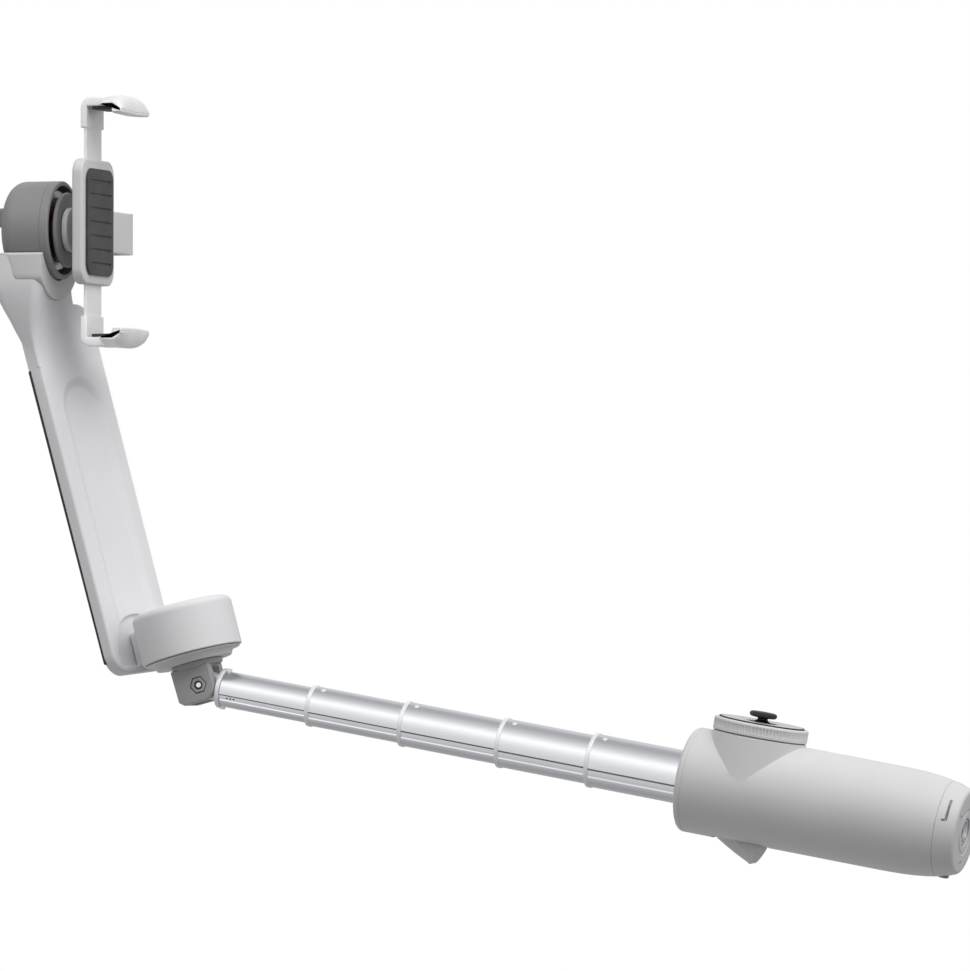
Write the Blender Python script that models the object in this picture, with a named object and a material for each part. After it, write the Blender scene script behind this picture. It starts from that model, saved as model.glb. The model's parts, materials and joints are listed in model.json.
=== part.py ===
"""Three-axis phone gimbal on a telescopic stick, drawn out and standing open.

Units are metres.  The row frame has its origin at the centre of the handle's end face,
+X towards the base end, +Z up, and -Y towards the side that carries the hinge nut.
The stick axis climbs away from the origin along -X.
"""
import math

import bmesh
import bpy
from mathutils import Matrix, Vector

MM = 0.001
GAP = 0.3 * MM
SIDES = 36

# ---- directions (degrees) ----
STICK_PITCH = 10.32
PAN_LEAN = 15.0
ARM_TURN = -18.0

# ---- handle, along the stick axis ----
HANDLE_FRONT = -90.6 * MM
CAP_SEAM = -6.4 * MM
HANDLE_RADIUS = 16.2 * MM
SEAM_RADIUS = 14.8 * MM
END_RADIUS = 13.1 * MM
SHELL_WALL = 1.6 * MM
CONTROL_X = -70.4 * MM
WHEEL_RADIUS = 14.85 * MM
BOSS_TOP = 18.2 * MM
PANEL_TOP = 21.9 * MM
STICK_PIVOT_Z = 17.6 * MM
JOYSTICK_RADIUS = 4.4 * MM
SLEEVE_RADIUS = 9.7 * MM
SLEEVE_BORE = 8.8 * MM
SLEEVE_END = -49.5 * MM
TRIGGER_PIVOT = (-76.8 * MM, -12.0 * MM)
TRIGGER_HALF = 4.2 * MM
BUTTON_X = -57.0 * MM
USB_X = -83.0 * MM
LEG_INNER = 9.75 * MM
LEG_OUTER = 13.2 * MM

# ---- telescopic tubes, widest first ----
TUBE_RADIUS = 8.4 * MM
TUBE_STEP = 0.675 * MM
TUBE_WALL = 0.375 * MM
TUBE_LENGTH = 42.0 * MM
MOUTHS = (-124.0 * MM, -154.1 * MM, -187.0 * MM, -218.5 * MM)
COLLAR_END = -245.2 * MM
COLLAR_FACE = -247.2 * MM
COLLAR_RADIUS = 6.3 * MM
FOLD_X = -253.4 * MM

# ---- hinge yoke and pan motor, from the fold pin ----
YOKE_HALF = 6.9 * MM
SLOT_HALF = 3.2 * MM
TONGUE_HALF = 2.9 * MM
TONGUE_RADIUS = 4.8 * MM
PAN_OFFSET = -1.7 * MM
DRUM_RADIUS = 16.2 * MM
DRUM_BOTTOM = 10.3 * MM
DRUM_TOP = 26.5 * MM

# ---- arm plate, in the arm frame ----
ARM_IN = -18.2 * MM
ARM_OUT = -22.8 * MM
ARM_HALF = 16.4 * MM
ARM_BOTTOM = 9.2 * MM
ARM_TOP = 131.0 * MM

# ---- head, level, from the fold pin ----
HEAD_Z = 147.6 * MM
ROLL_Z = 145.3 * MM
ROLL_RADIUS = 15.7 * MM
ROLL_REAR = -65.0 * MM
ROLL_FRONT = -48.0 * MM
ROLL_FILLET = 5.0 * MM
CRADLE_TOP = -8.5 * MM
CRADLE_RADIUS = 22.5 * MM
TILT_X = -52.0 * MM
TILT_RADIUS = 11.0 * MM
PHONE_BACK = -35.45 * MM
PHONE_FRONT = -27.8 * MM
PHONE_HALF = 35.75 * MM
PLATE_BACK = -39.9 * MM
PLATE_FRONT = -36.3 * MM
JAW_HALF = 13.4 * MM
NECK_HALF = 8.0 * MM


# ---------------------------------------------------------------- helpers
def clear_scene():
    for obj in list(bpy.data.objects):
        bpy.data.objects.remove(obj, do_unlink=True)


def material(name, colour, roughness, metallic=0.0):
    mat = bpy.data.materials.new(name)
    mat.use_nodes = True
    shader = mat.node_tree.nodes["Principled BSDF"]
    shader.inputs["Base Color"].default_value = (*colour, 1.0)
    shader.inputs["Roughness"].default_value = roughness
    shader.inputs["Metallic"].default_value = metallic
    return mat


def frame(name, parent=None, location=(0, 0, 0), turn=(0, 0, 0)):
    """An empty that carries a group; turn is in degrees."""
    empty = bpy.data.objects.new(name, None)
    bpy.context.collection.objects.link(empty)
    empty.parent = parent
    empty.location = location
    empty.rotation_euler = [math.radians(t) for t in turn]
    return empty


def turned(profile, sides=SIDES):
    """A solid turned about Z from a closed (radius, height) outline."""
    bm = bmesh.new()
    rings = []
    for radius, height in profile:
        if radius < 1e-7:
            rings.append([bm.verts.new((0, 0, height))] * sides)
            continue
        step = math.tau / sides
        rings.append([bm.verts.new((radius * math.cos(step * i), radius * math.sin(step * i), height))
                      for i in range(sides)])
    for low, high in zip(rings, rings[1:] + rings[:1]):
        for i in range(sides):
            j = (i + 1) % sides
            corners = list(dict.fromkeys((low[i], low[j], high[j], high[i])))
            if len(corners) > 2:
                bm.faces.new(corners)
    bmesh.ops.recalc_face_normals(bm, faces=bm.faces)
    return bm


def prism(outline, low, high):
    """A closed outline in XY, drawn up along Z from low to high."""
    bm = bmesh.new()
    face = bm.faces.new([bm.verts.new((x, y, low)) for x, y in outline])
    top = bmesh.ops.extrude_face_region(bm, geom=[face])
    verts = [g for g in top["geom"] if isinstance(g, bmesh.types.BMVert)]
    bmesh.ops.translate(bm, verts=verts, vec=(0, 0, high - low))
    bmesh.ops.recalc_face_normals(bm, faces=bm.faces)
    return bm


def block(x, y, z):
    """A box from three (low, high) pairs."""
    return prism([(x[0], y[0]), (x[1], y[0]), (x[1], y[1]), (x[0], y[1])], z[0], z[1])


def arc(centre, radius, start, end, count):
    """Points on a circle, angles in degrees."""
    return [(centre[0] + radius * math.cos(math.radians(start + (end - start) * i / count)),
             centre[1] + radius * math.sin(math.radians(start + (end - start) * i / count)))
            for i in range(count + 1)]


def rounded(half_x, half_y, radius, centre=(0, 0), count=5):
    """A rounded rectangle as an outline."""
    points = []
    for sx, sy, start in ((1, 1, 0), (-1, 1, 90), (-1, -1, 180), (1, -1, 270)):
        corner = (centre[0] + sx * (half_x - radius), centre[1] + sy * (half_y - radius))
        points += arc(corner, radius, start, start + 90, count)
    return points


TO_X = Matrix.Rotation(math.radians(90), 4, "Y")
TO_Y = Matrix.Rotation(math.radians(-90), 4, "X")
XZ_TO_Y = Matrix(((1, 0, 0, 0), (0, 0, 1, 0), (0, 1, 0, 0), (0, 0, 0, 1)))
YZ_TO_X = Matrix(((0, 0, 1, 0), (1, 0, 0, 0), (0, 1, 0, 0), (0, 0, 0, 1)))


def mesh_from(bm, name, place):
    bmesh.ops.transform(bm, matrix=place, verts=bm.verts)
    bmesh.ops.recalc_face_normals(bm, faces=bm.faces)
    mesh = bpy.data.meshes.new(name)
    bm.to_mesh(mesh)
    bm.free()
    mesh.shade_smooth()
    mesh.set_sharp_from_angle(angle=math.radians(32))
    return mesh


def add(name, bm, mat, parent, place=Matrix(), location=(0, 0, 0)):
    """One named sub-part under its frame."""
    mesh = mesh_from(bm, name, place)
    mesh.materials.append(mat)
    obj = bpy.data.objects.new(name, mesh)
    bpy.context.collection.objects.link(obj)
    obj.parent = parent
    obj.location = location
    return obj


def shape(target, bm, operation, place=Matrix(), location=(0, 0, 0)):
    """Joins or cuts the target with a hidden tool solid in the target's own frame."""
    count = len(target.modifiers)
    tool = bpy.data.objects.new(f"tool_{target.name}_{count}", mesh_from(bm, "tool", place))
    bpy.context.collection.objects.link(tool)
    tool.parent = target.parent
    tool.location = location
    tool.hide_render = True
    tool.display_type = "WIRE"
    step = target.modifiers.new(f"{operation.lower()}_{count}", "BOOLEAN")
    step.operation = operation
    step.object = tool
    step.solver = "EXACT"


def tube_profile(low, high, inner, outer):
    return [(inner, low), (outer, low), (outer, high), (inner, high)]


# ---------------------------------------------------------------- handle
def handle_shell(mats, stick):
    fillet = 1.6 * MM
    corner = (HANDLE_RADIUS - fillet, HANDLE_FRONT + fillet)
    outer = arc(corner, fillet, -90, 0, 3)
    taper_from, steps = -42 * MM, 5
    for i in range(1, steps + 1):
        share = i / steps
        outer.append((HANDLE_RADIUS - (HANDLE_RADIUS - SEAM_RADIUS) * share ** 2,
                      taper_from + (CAP_SEAM - taper_from) * share))
    solid = [(0, HANDLE_FRONT)] + outer + [(0, CAP_SEAM)]
    shell = add("handle_shell", turned(solid, 48), mats["shell"], stick, TO_X)
    at = (CONTROL_X, 0, 0)
    boss = [(0, 4 * MM), (WHEEL_RADIUS, 4 * MM), (WHEEL_RADIUS, BOSS_TOP), (0, BOSS_TOP)]
    shape(shell, turned(boss, 44), "UNION", location=at)
    mouth = SLEEVE_RADIUS + 0.5 * MM
    inner = HANDLE_RADIUS - SHELL_WALL
    bay = [(0, HANDLE_FRONT - 5 * MM), (mouth, HANDLE_FRONT - 5 * MM), (mouth, HANDLE_FRONT + SHELL_WALL),
           (inner, HANDLE_FRONT + SHELL_WALL), (inner, taper_from), (SEAM_RADIUS - 1.2 * MM, CAP_SEAM + 5 * MM),
           (0, CAP_SEAM + 5 * MM)]
    shape(shell, turned(bay, 44), "DIFFERENCE", TO_X)
    hollow = WHEEL_RADIUS - 1.4 * MM
    well = [(0, 2 * MM), (hollow, 2 * MM), (hollow, 30 * MM), (0, 30 * MM)]
    shape(shell, turned(well, 40), "DIFFERENCE", location=at)
    slot = block((-80.6 * MM, -60.8 * MM), (-TRIGGER_HALF - 0.5 * MM, TRIGGER_HALF + 0.5 * MM),
                 (-19 * MM, -12 * MM))
    shape(shell, slot, "DIFFERENCE")
    hole = [(0, 12 * MM), (3.9 * MM, 12 * MM), (3.9 * MM, 19 * MM), (0, 19 * MM)]
    shape(shell, turned(hole, 16), "DIFFERENCE", TO_Y, (BUTTON_X, 0, 0))
    port = prism(rounded(4.8 * MM, 2.0 * MM, 1.9 * MM), 12 * MM, 19 * MM)
    shape(shell, port, "DIFFERENCE", XZ_TO_Y, (USB_X, 0, 0))


def handle_parts(mats, stick):
    handle_shell(mats, stick)
    bezel = tube_profile(HANDLE_FRONT + 0.1 * MM, HANDLE_FRONT + 2.4 * MM, 8.8 * MM, 9.8 * MM)
    add("front_bezel", turned(bezel), mats["grey"], stick, TO_X)
    low = HANDLE_FRONT + 2.8 * MM
    sleeve = [(SLEEVE_BORE, low), (SLEEVE_RADIUS, low), (SLEEVE_RADIUS, SLEEVE_END), (0, SLEEVE_END),
              (0, SLEEVE_END - MM), (SLEEVE_BORE, SLEEVE_END - MM)]
    add("rod_bay_sleeve", turned(sleeve), mats["dark"], stick, TO_X)
    cell = [(0, -48.8 * MM), (8.1 * MM, -48.8 * MM), (8.9 * MM, -48 * MM), (8.9 * MM, -15 * MM),
            (8.1 * MM, -14.2 * MM), (0, -14.2 * MM)]
    add("battery_cell", turned(cell, 20), mats["battery"], stick, TO_X)
    usb = add("usb_socket", prism(rounded(4.4 * MM, 1.6 * MM, 1.5 * MM), 10.3 * MM, 15.8 * MM),
              mats["steel"], stick, XZ_TO_Y, (USB_X, 0, 0))
    shape(usb, prism(rounded(4.0 * MM, 1.2 * MM, 1.1 * MM), 11.5 * MM, 17 * MM), "DIFFERENCE",
          XZ_TO_Y, (USB_X, 0, 0))
    button = [(0, 13.2 * MM), (3.5 * MM, 13.2 * MM), (3.5 * MM, 16.1 * MM), (3.1 * MM, 16.5 * MM),
              (0, 16.5 * MM)]
    add("power_button", turned(button, 16), mats["grey"], stick, TO_Y, (BUTTON_X, 0, 0))


def control_parts(mats, stick):
    """What sits in the control boss, turned about the boss's own axis."""
    boss = frame("wheel_axis", stick, (CONTROL_X, 0, 0))
    board = tube_profile(14.2 * MM, 15.2 * MM, 2 * MM, 12.6 * MM)
    add("main_board", turned(board, 20), mats["board"], boss)
    housing = tube_profile(15.5 * MM, 19.9 * MM, 5.2 * MM, 6.4 * MM)
    add("joystick_housing", turned(housing, 16), mats["dark"], boss)
    low = PANEL_TOP - 1.5 * MM
    panel = [(4.9 * MM, PANEL_TOP), (13.1 * MM, PANEL_TOP), (13.3 * MM, PANEL_TOP - 0.2 * MM),
             (13.3 * MM, low), (10.8 * MM, low), (10.8 * MM, 15.5 * MM), (9.5 * MM, 15.5 * MM),
             (9.5 * MM, low), (4.9 * MM, low)]
    add("touch_panel", turned(panel), mats["panel"], boss)
    under = BOSS_TOP + GAP
    ring = [(WHEEL_RADIUS, under), (WHEEL_RADIUS, PANEL_TOP - 0.4 * MM), (WHEEL_RADIUS - 0.4 * MM, PANEL_TOP),
            (13.6 * MM, PANEL_TOP), (13.6 * MM, low - GAP), (11.2 * MM, low - GAP), (11.2 * MM, under)]
    add("control_wheel", turned(ring, 48), mats["shell"], boss)
    cradle = tube_profile(-0.6 * MM, 0.6 * MM, 2.2 * MM, 3.7 * MM)
    add("joystick_cradle", turned(cradle, 12), mats["steel"], boss, location=(0, 0, STICK_PIVOT_Z))
    dome = arc((0, 0), 5.0 * MM, 76, 31.3, 3)
    cap = [(0, 7.4 * MM), (3.9 * MM, 7.4 * MM), (JOYSTICK_RADIUS, 6.9 * MM), (JOYSTICK_RADIUS, 5.9 * MM),
           (3.9 * MM, 5.5 * MM), (1.2 * MM, 5.5 * MM)]
    foot = [(1.2 * MM, 2.6 * MM), (1.2 * MM, 1.3 * MM), (1.6 * MM, 0), (1.1 * MM, -1.1 * MM), (0, -1.6 * MM)]
    add("joystick", turned(cap + dome + foot, 16), mats["black"], boss, location=(0, 0, STICK_PIVOT_Z))


def trigger_parts(mats, stick):
    """The lever under the handle and the pin it swings on."""
    axis = frame("trigger_axis", stick, (TRIGGER_PIVOT[0], 0, TRIGGER_PIVOT[1]))
    outline = arc((0, 0), 2.0 * MM, 180, 20, 6)
    outline += [(13.8 * MM, -1.2 * MM), (15.0 * MM, -4.6 * MM), (10.9 * MM, -10.3 * MM)]
    outline += arc((-6.0 * MM, -28.8 * MM), 24.6 * MM, 50.7, 83.5, 5)
    lever = add("trigger", prism(outline, -TRIGGER_HALF, TRIGGER_HALF), mats["shell"], axis, XZ_TO_Y)
    hole = [(0, -8 * MM), (1.1 * MM, -8 * MM), (1.1 * MM, 8 * MM), (0, 8 * MM)]
    shape(lever, turned(hole, 12), "DIFFERENCE", TO_Y)
    pin = [(0, -6.4 * MM), (0.8 * MM, -6.4 * MM), (0.8 * MM, 6.4 * MM), (0, 6.4 * MM)]
    add("trigger_pin", turned(pin, 10), mats["steel"], axis, TO_Y)


def tripod_parts(mats, stick):
    low = CAP_SEAM + GAP
    outer = [(SEAM_RADIUS - 0.05 * MM, low), (14.4 * MM, -4.2 * MM), (13.9 * MM, -2.4 * MM)]
    outer += arc((END_RADIUS - 1.0 * MM, -1.4 * MM), 1.4 * MM, 28, 90, 3)
    cap = add("tripod_cap", turned([(4.4 * MM, low)] + outer + [(4.4 * MM, 0)], 40), mats["shell"], stick, TO_X)
    for turn in (-60, 60, 180):
        hole = turned([(0, -1.2 * MM), (0.8 * MM, -1.2 * MM), (0.8 * MM, MM), (0, MM)], 8)
        angle = math.radians(turn)
        shape(cap, hole, "DIFFERENCE", TO_X, (0, 8 * MM * math.sin(angle), 8 * MM * math.cos(angle)))
    insert = tube_profile(CAP_SEAM + 2 * GAP, -0.4 * MM, 2.9 * MM, 4.1 * MM)
    add("thread_insert", turned(insert, 20), mats["brass"], stick, TO_X)
    core = tube_profile(low - 3.6 * MM, low - GAP, 2.0 * MM, 9.3 * MM)
    add("tripod_core", turned(core, 20), mats["dark"], stick, TO_X)
    for number in range(3):
        middle = 90 + 120 * number
        outline = arc((0, 0), LEG_OUTER, middle - 54, middle + 54, 10)
        outline += arc((0, 0), LEG_INNER, middle + 54, middle - 54, 10)
        add(f"tripod_leg_{number + 1}", prism(outline, SLEEVE_END + 0.6 * MM, low - GAP), mats["grey"], stick, TO_X)
    pad = prism(rounded(1.5 * MM, 2.2 * MM, 0.8 * MM, count=3), -15.7 * MM, -15.05 * MM)
    add("foot_pad", pad, mats["rubber"], stick, location=(-4.9 * MM, 0, 0))


# ---------------------------------------------------------------- telescopic rod
def tube_parts(mats, stick):
    """Five nested tubes; tube_5 slides in the handle and tube_1 carries the head."""
    for number, mouth in enumerate(MOUTHS):
        radius = TUBE_RADIUS - number * TUBE_STEP
        lip = radius + 0.3 * MM
        bore = radius - TUBE_WALL
        end = mouth + TUBE_LENGTH
        profile = [(bore, mouth), (lip, mouth), (lip, mouth + MM), (radius, mouth + MM), (radius, end), (bore, end)]
        add(f"tube_{5 - number}", turned(profile, 32), mats["aluminium"], stick, TO_X)
    radius = TUBE_RADIUS - 4 * TUBE_STEP
    inner = tube_profile(COLLAR_END + GAP, MOUTHS[3] + 10 * MM, radius - TUBE_WALL, radius)
    add("tube_1", turned(inner, 32), mats["aluminium"], stick, TO_X)


def rod_end(mats, stick):
    """Collar, plug and the tongue that the fold pin passes through."""
    plug = TUBE_RADIUS - 4 * TUBE_STEP - TUBE_WALL - GAP
    profile = [(0, COLLAR_FACE), (COLLAR_RADIUS, COLLAR_FACE), (COLLAR_RADIUS, COLLAR_END), (plug, COLLAR_END),
               (plug, COLLAR_END + 6 * MM), (0, COLLAR_END + 6 * MM)]
    end = add("rod_end", turned(profile, 28), mats["steel"], stick, TO_X)
    tongue = arc((FOLD_X, 0), TONGUE_RADIUS, 90, 270, 12)
    tongue += [(COLLAR_FACE + MM, -TONGUE_RADIUS), (COLLAR_FACE + MM, TONGUE_RADIUS)]
    shape(end, prism(tongue, -TONGUE_HALF, TONGUE_HALF), "UNION", XZ_TO_Y)
    hole = turned([(0, -9 * MM), (1.8 * MM, -9 * MM), (1.8 * MM, 9 * MM), (0, 9 * MM)], 16)
    shape(end, hole, "DIFFERENCE", TO_Y, (FOLD_X, 0, 0))


# ---------------------------------------------------------------- hinge and pan motor
def yoke_parts(mats, fold):
    outline = [(-8.1 * MM, 6.2 * MM), (-8.1 * MM, -5.1 * MM), (-7.5 * MM, -5.7 * MM)]
    outline += [(x, -5.7 * MM) for x in (0.0,)] + arc((0, 0), 5.7 * MM, -84, -26.5, 6)
    outline += [(5.1 * MM, 6.2 * MM)]
    yoke = add("hinge_yoke", prism(outline, -YOKE_HALF, YOKE_HALF), mats["shell"], fold, XZ_TO_Y)
    neck = turned([(0, 5.8 * MM), (9.4 * MM, 5.8 * MM), (9.8 * MM, 7.3 * MM), (0, 7.3 * MM)], 32)
    shape(yoke, neck, "UNION", location=(PAN_OFFSET, 0, 0))
    slot = block((-5.6 * MM, 9 * MM), (-SLOT_HALF, SLOT_HALF), (-9 * MM, 5.2 * MM))
    shape(yoke, slot, "DIFFERENCE")
    hole = turned([(0, -9 * MM), (1.8 * MM, -9 * MM), (1.8 * MM, 9 * MM), (0, 9 * MM)], 16)
    shape(yoke, hole, "DIFFERENCE", TO_Y)
    pocket = turned([(0, -9 * MM), (2.9 * MM, -9 * MM), (2.9 * MM, -5.0 * MM), (0, -5.0 * MM)], 6)
    shape(yoke, pocket, "DIFFERENCE", TO_Y)
    seat = turned([(0, 5.0 * MM), (2.9 * MM, 5.0 * MM), (2.9 * MM, 9 * MM), (0, 9 * MM)], 16)
    shape(yoke, seat, "DIFFERENCE", TO_Y)
    pin = [(0, -6.7 * MM), (0.9 * MM, -6.7 * MM), (0.9 * MM, -5.2 * MM), (1.5 * MM, -5.2 * MM),
           (1.5 * MM, 5.3 * MM), (2.5 * MM, 5.3 * MM), (2.5 * MM, 6.6 * MM), (0, 6.6 * MM)]
    add("hinge_pin", turned(pin, 16), mats["steel"], fold, TO_Y)
    nut = turned(tube_profile(-6.95 * MM, -5.5 * MM, 1.35 * MM, 2.5 * MM), 6)
    add("hinge_nut", nut, mats["chrome"], fold, TO_Y)


def pan_parts(mats, pan):
    base = [(2.2 * MM, 7.6 * MM), (12.0 * MM, 7.6 * MM), (13.2 * MM, 9.9 * MM), (5 * MM, 9.9 * MM),
            (5 * MM, 21 * MM), (2.2 * MM, 21 * MM)]
    add("pan_base", turned(base, 36), mats["grey"], pan)
    add("pan_windings", turned(tube_profile(10.6 * MM, 20 * MM, 5.4 * MM, 10.6 * MM), 20), mats["copper"], pan)
    add("pan_magnet_ring", turned(tube_profile(11.4 * MM, 20 * MM, 11.1 * MM, 14.0 * MM), 20), mats["steel"], pan)
    add("pan_bearing", turned(tube_profile(21.4 * MM, 24.2 * MM, 2.4 * MM, 6.5 * MM), 16), mats["steel"], pan)


def arm_shell(mats, arm, head):
    """Drum, plate and roll-motor cradle as one moulding, hollow behind and under."""
    fillet = 4.0 * MM
    drum = [(0, DRUM_BOTTOM), (DRUM_RADIUS, DRUM_BOTTOM)]
    drum += arc((DRUM_RADIUS - fillet, DRUM_TOP - fillet), fillet, 0, 90, 4) + [(0, DRUM_TOP)]
    shell = add("arm_shell", turned(drum, 48), mats["arm"], arm)
    corner = 7.0 * MM
    plate = arc((ARM_HALF - corner, ARM_BOTTOM + corner), corner, -90, 0, 5)
    plate += arc((ARM_HALF - corner, ARM_TOP - corner), corner, 0, 90, 5)
    plate += arc((corner - ARM_HALF, ARM_TOP - corner), corner, 90, 180, 5)
    plate += arc((corner - ARM_HALF, ARM_BOTTOM + corner), corner, 180, 270, 5)
    shape(shell, prism(plate, ARM_OUT, ARM_IN), "UNION", YZ_TO_X)
    bridge = [(-19.5 * MM, -14.6 * MM), (-8 * MM, -14.0 * MM), (-8 * MM, 14.0 * MM), (-19.5 * MM, 14.6 * MM)]
    shape(shell, prism(bridge, DRUM_BOTTOM + 0.2 * MM, DRUM_TOP - 4 * MM), "UNION")
    cavity = DRUM_RADIUS - SHELL_WALL
    inside = [(0, 5 * MM), (cavity, 5 * MM), (cavity, DRUM_TOP - 1.8 * MM), (0, DRUM_TOP - 1.8 * MM)]
    shape(shell, turned(inside, 40), "DIFFERENCE")
    pocket = prism(rounded(14.4 * MM, 49 * MM, 5 * MM, (0, 64 * MM)), ARM_OUT - 5 * MM, ARM_OUT + 2.8 * MM)
    shape(shell, pocket, "DIFFERENCE", YZ_TO_X)
    to_roll = arm.matrix_basis.inverted() @ arm.parent.matrix_basis.inverted() @ head.matrix_basis
    to_roll = to_roll @ Matrix.Translation((0, 0, ROLL_Z))
    flare = [(-49.6 * MM, -36 * MM), (-50.2 * MM, -4 * MM), (-68.6 * MM, -4 * MM), (-68.6 * MM, -12 * MM),
             (-67.2 * MM, -18 * MM), (-64.4 * MM, -24 * MM), (-61.4 * MM, -29 * MM), (-59.4 * MM, -36 * MM)]
    shape(shell, prism(flare, -13 * MM, 15.3 * MM), "UNION", to_roll @ XZ_TO_Y)
    cradle = turned([(0, -66.6 * MM), (CRADLE_RADIUS, -66.6 * MM), (CRADLE_RADIUS, -49.9 * MM), (0, -49.9 * MM)], 44)
    shape(shell, cradle, "UNION", to_roll @ TO_X)
    for sides in ((15.6 * MM, 30 * MM), (-30 * MM, -15.6 * MM)):
        shape(shell, block((-80 * MM, -48 * MM), sides, (-24 * MM, 40 * MM)), "DIFFERENCE", to_roll)
    above = block((-80 * MM, -40 * MM), (-30 * MM, 30 * MM), (CRADLE_TOP, 40 * MM))
    shape(shell, above, "DIFFERENCE", to_roll)
    bore = ROLL_RADIUS + GAP
    hollow = turned([(0, ROLL_REAR - GAP), (bore, ROLL_REAR - GAP), (bore, -40 * MM), (0, -40 * MM)], 40)
    shape(shell, hollow, "DIFFERENCE", to_roll @ TO_X)


def arm_parts(mats, arm, head):
    arm_shell(mats, arm, head)
    cover = prism(rounded(14.0 * MM, 48.6 * MM, 4.6 * MM, (0, 64 * MM)), ARM_OUT - 0.2 * MM, ARM_OUT + 0.8 * MM)
    add("arm_back_cover", cover, mats["black"], arm, YZ_TO_X)
    board = prism(rounded(9 * MM, 40 * MM, MM, (0, 64 * MM), 2), ARM_OUT + 1.3 * MM, ARM_OUT + 2.2 * MM)
    add("arm_board", board, mats["board"], arm, YZ_TO_X)


# ---------------------------------------------------------------- roll and tilt motors
def roll_parts(mats, roll):
    """Turned parts about the roll axis, which lies along X through the roll frame."""
    wall = ROLL_RADIUS - 1.4 * MM
    back = ROLL_REAR + 1.4 * MM
    corner = (ROLL_RADIUS - ROLL_FILLET, ROLL_REAR + ROLL_FILLET)
    inside = ROLL_FILLET - 1.4 * MM
    cup = [(0, ROLL_REAR)] + arc(corner, ROLL_FILLET, -90, 0, 4) + [(ROLL_RADIUS, ROLL_FRONT), (wall, ROLL_FRONT)]
    cup += arc(corner, inside, 0, -90, 3) + [(0, back)]
    add("roll_housing", turned(cup, 40), mats["grey"], roll, TO_X)
    plug = prism(rounded(2.6 * MM, 3.1 * MM, 1.2 * MM), ROLL_REAR - 2.6 * MM, ROLL_REAR - GAP)
    add("roll_rear_plug", plug, mats["dark"], roll, YZ_TO_X, (0, -5.0 * MM, 3.9 * MM))
    ring = tube_profile(-59.8 * MM, -50 * MM, 10.4 * MM, 12.7 * MM)
    add("roll_magnet_ring", turned(ring, 20), mats["steel"], roll, TO_X)
    add("roll_windings", turned(tube_profile(-59 * MM, -50.2 * MM, 3.2 * MM, 9.9 * MM), 20), mats["copper"], roll, TO_X)
    disc = [(0, -59.5 * MM), (2.6 * MM, -59.5 * MM), (2.6 * MM, -47.6 * MM), (12 * MM, -47.6 * MM),
            (12 * MM, -46.3 * MM), (0, -46.3 * MM)]
    add("roll_rotor", turned(disc, 24), mats["grey"], roll, TO_X)
    bracket = prism(rounded(14.1 * MM, 7 * MM, 3 * MM, (6.1 * MM, 0)), -45.9 * MM, -44.1 * MM)
    add("roll_bracket", bracket, mats["shell"], roll, YZ_TO_X)


def tilt_parts(mats, tilt):
    """Turned parts about the tilt axis, which lies along Y through the tilt frame."""
    wall = TILT_RADIUS - 1.3 * MM
    cup = [(0, 20.6 * MM), (TILT_RADIUS - MM, 20.6 * MM), (TILT_RADIUS, 21.6 * MM), (TILT_RADIUS, 31.5 * MM),
           (wall, 31.5 * MM), (wall, 22 * MM), (0, 22 * MM)]
    add("tilt_housing", turned(cup, 32), mats["shell"], tilt, TO_Y)
    add("tilt_windings", turned(tube_profile(22.6 * MM, 30.6 * MM, 3.0 * MM, 6.6 * MM), 16), mats["copper"], tilt, TO_Y)
    rotor = [(0, 23 * MM), (2.4 * MM, 23 * MM), (2.4 * MM, 31.8 * MM), (7.2 * MM, 31.8 * MM), (7.2 * MM, 24 * MM),
             (9.2 * MM, 24 * MM), (9.2 * MM, 31.8 * MM), (10.5 * MM, 31.8 * MM), (10.5 * MM, 33.3 * MM),
             (0, 33.3 * MM)]
    add("tilt_rotor", turned(rotor, 24), mats["steel"], tilt, TO_Y)
    reach = PLATE_FRONT - TILT_X - 1.1 * MM
    depth = PLATE_BACK - TILT_X
    side = arc((0, 0), 9.5 * MM, 45, 315, 18) + [(reach, -6.7 * MM), (reach, 6.7 * MM)]
    link = add("tilt_link", prism(side, 33.6 * MM, 36.2 * MM), mats["shell"], tilt, XZ_TO_Y)
    shape(link, block((depth, reach), (15.4 * MM, 35 * MM), (-6.7 * MM, 6.7 * MM)), "UNION")


# ---------------------------------------------------------------- clamp
def clamp_parts(mats, clamp):
    """Plate, pad and jaws, about the clamp's centre height."""
    plate = add("clamp_plate", prism(rounded(15 * MM, 20 * MM, 5 * MM), PLATE_BACK, PLATE_FRONT),
                mats["shell"], clamp, YZ_TO_X)
    shape(plate, block((-39.0 * MM, -37.4 * MM), (-7.6 * MM, 7.6 * MM), (-25 * MM, 25 * MM)), "DIFFERENCE")
    for number, side in enumerate((-1, 1)):
        at = (-38.2 * MM, side * 10.6 * MM, 0)
        bore = turned([(0, -25 * MM), (0.95 * MM, -25 * MM), (0.95 * MM, 25 * MM), (0, 25 * MM)], 8)
        shape(plate, bore, "DIFFERENCE", location=at)
        coil = turned([(0, -18 * MM), (0.6 * MM, -18 * MM), (0.6 * MM, 18 * MM), (0, 18 * MM)], 8)
        add(f"jaw_spring_{number + 1}", coil, mats["steel"], clamp, location=at)
    pad = prism(rounded(12 * MM, 17 * MM, 4 * MM), PLATE_FRONT + GAP, PHONE_BACK)
    add("rest_pad", pad, mats["rubber"], clamp, YZ_TO_X)
    ring = tube_profile(PLATE_BACK - 1.3 * MM, PLATE_BACK - GAP, 6 * MM, 9.5 * MM)
    add("magnet_ring", turned(ring, 20), mats["steel"], clamp, TO_X)
    jaw_parts(mats, clamp, "upper", 1)
    jaw_parts(mats, clamp, "lower", -1)


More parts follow.
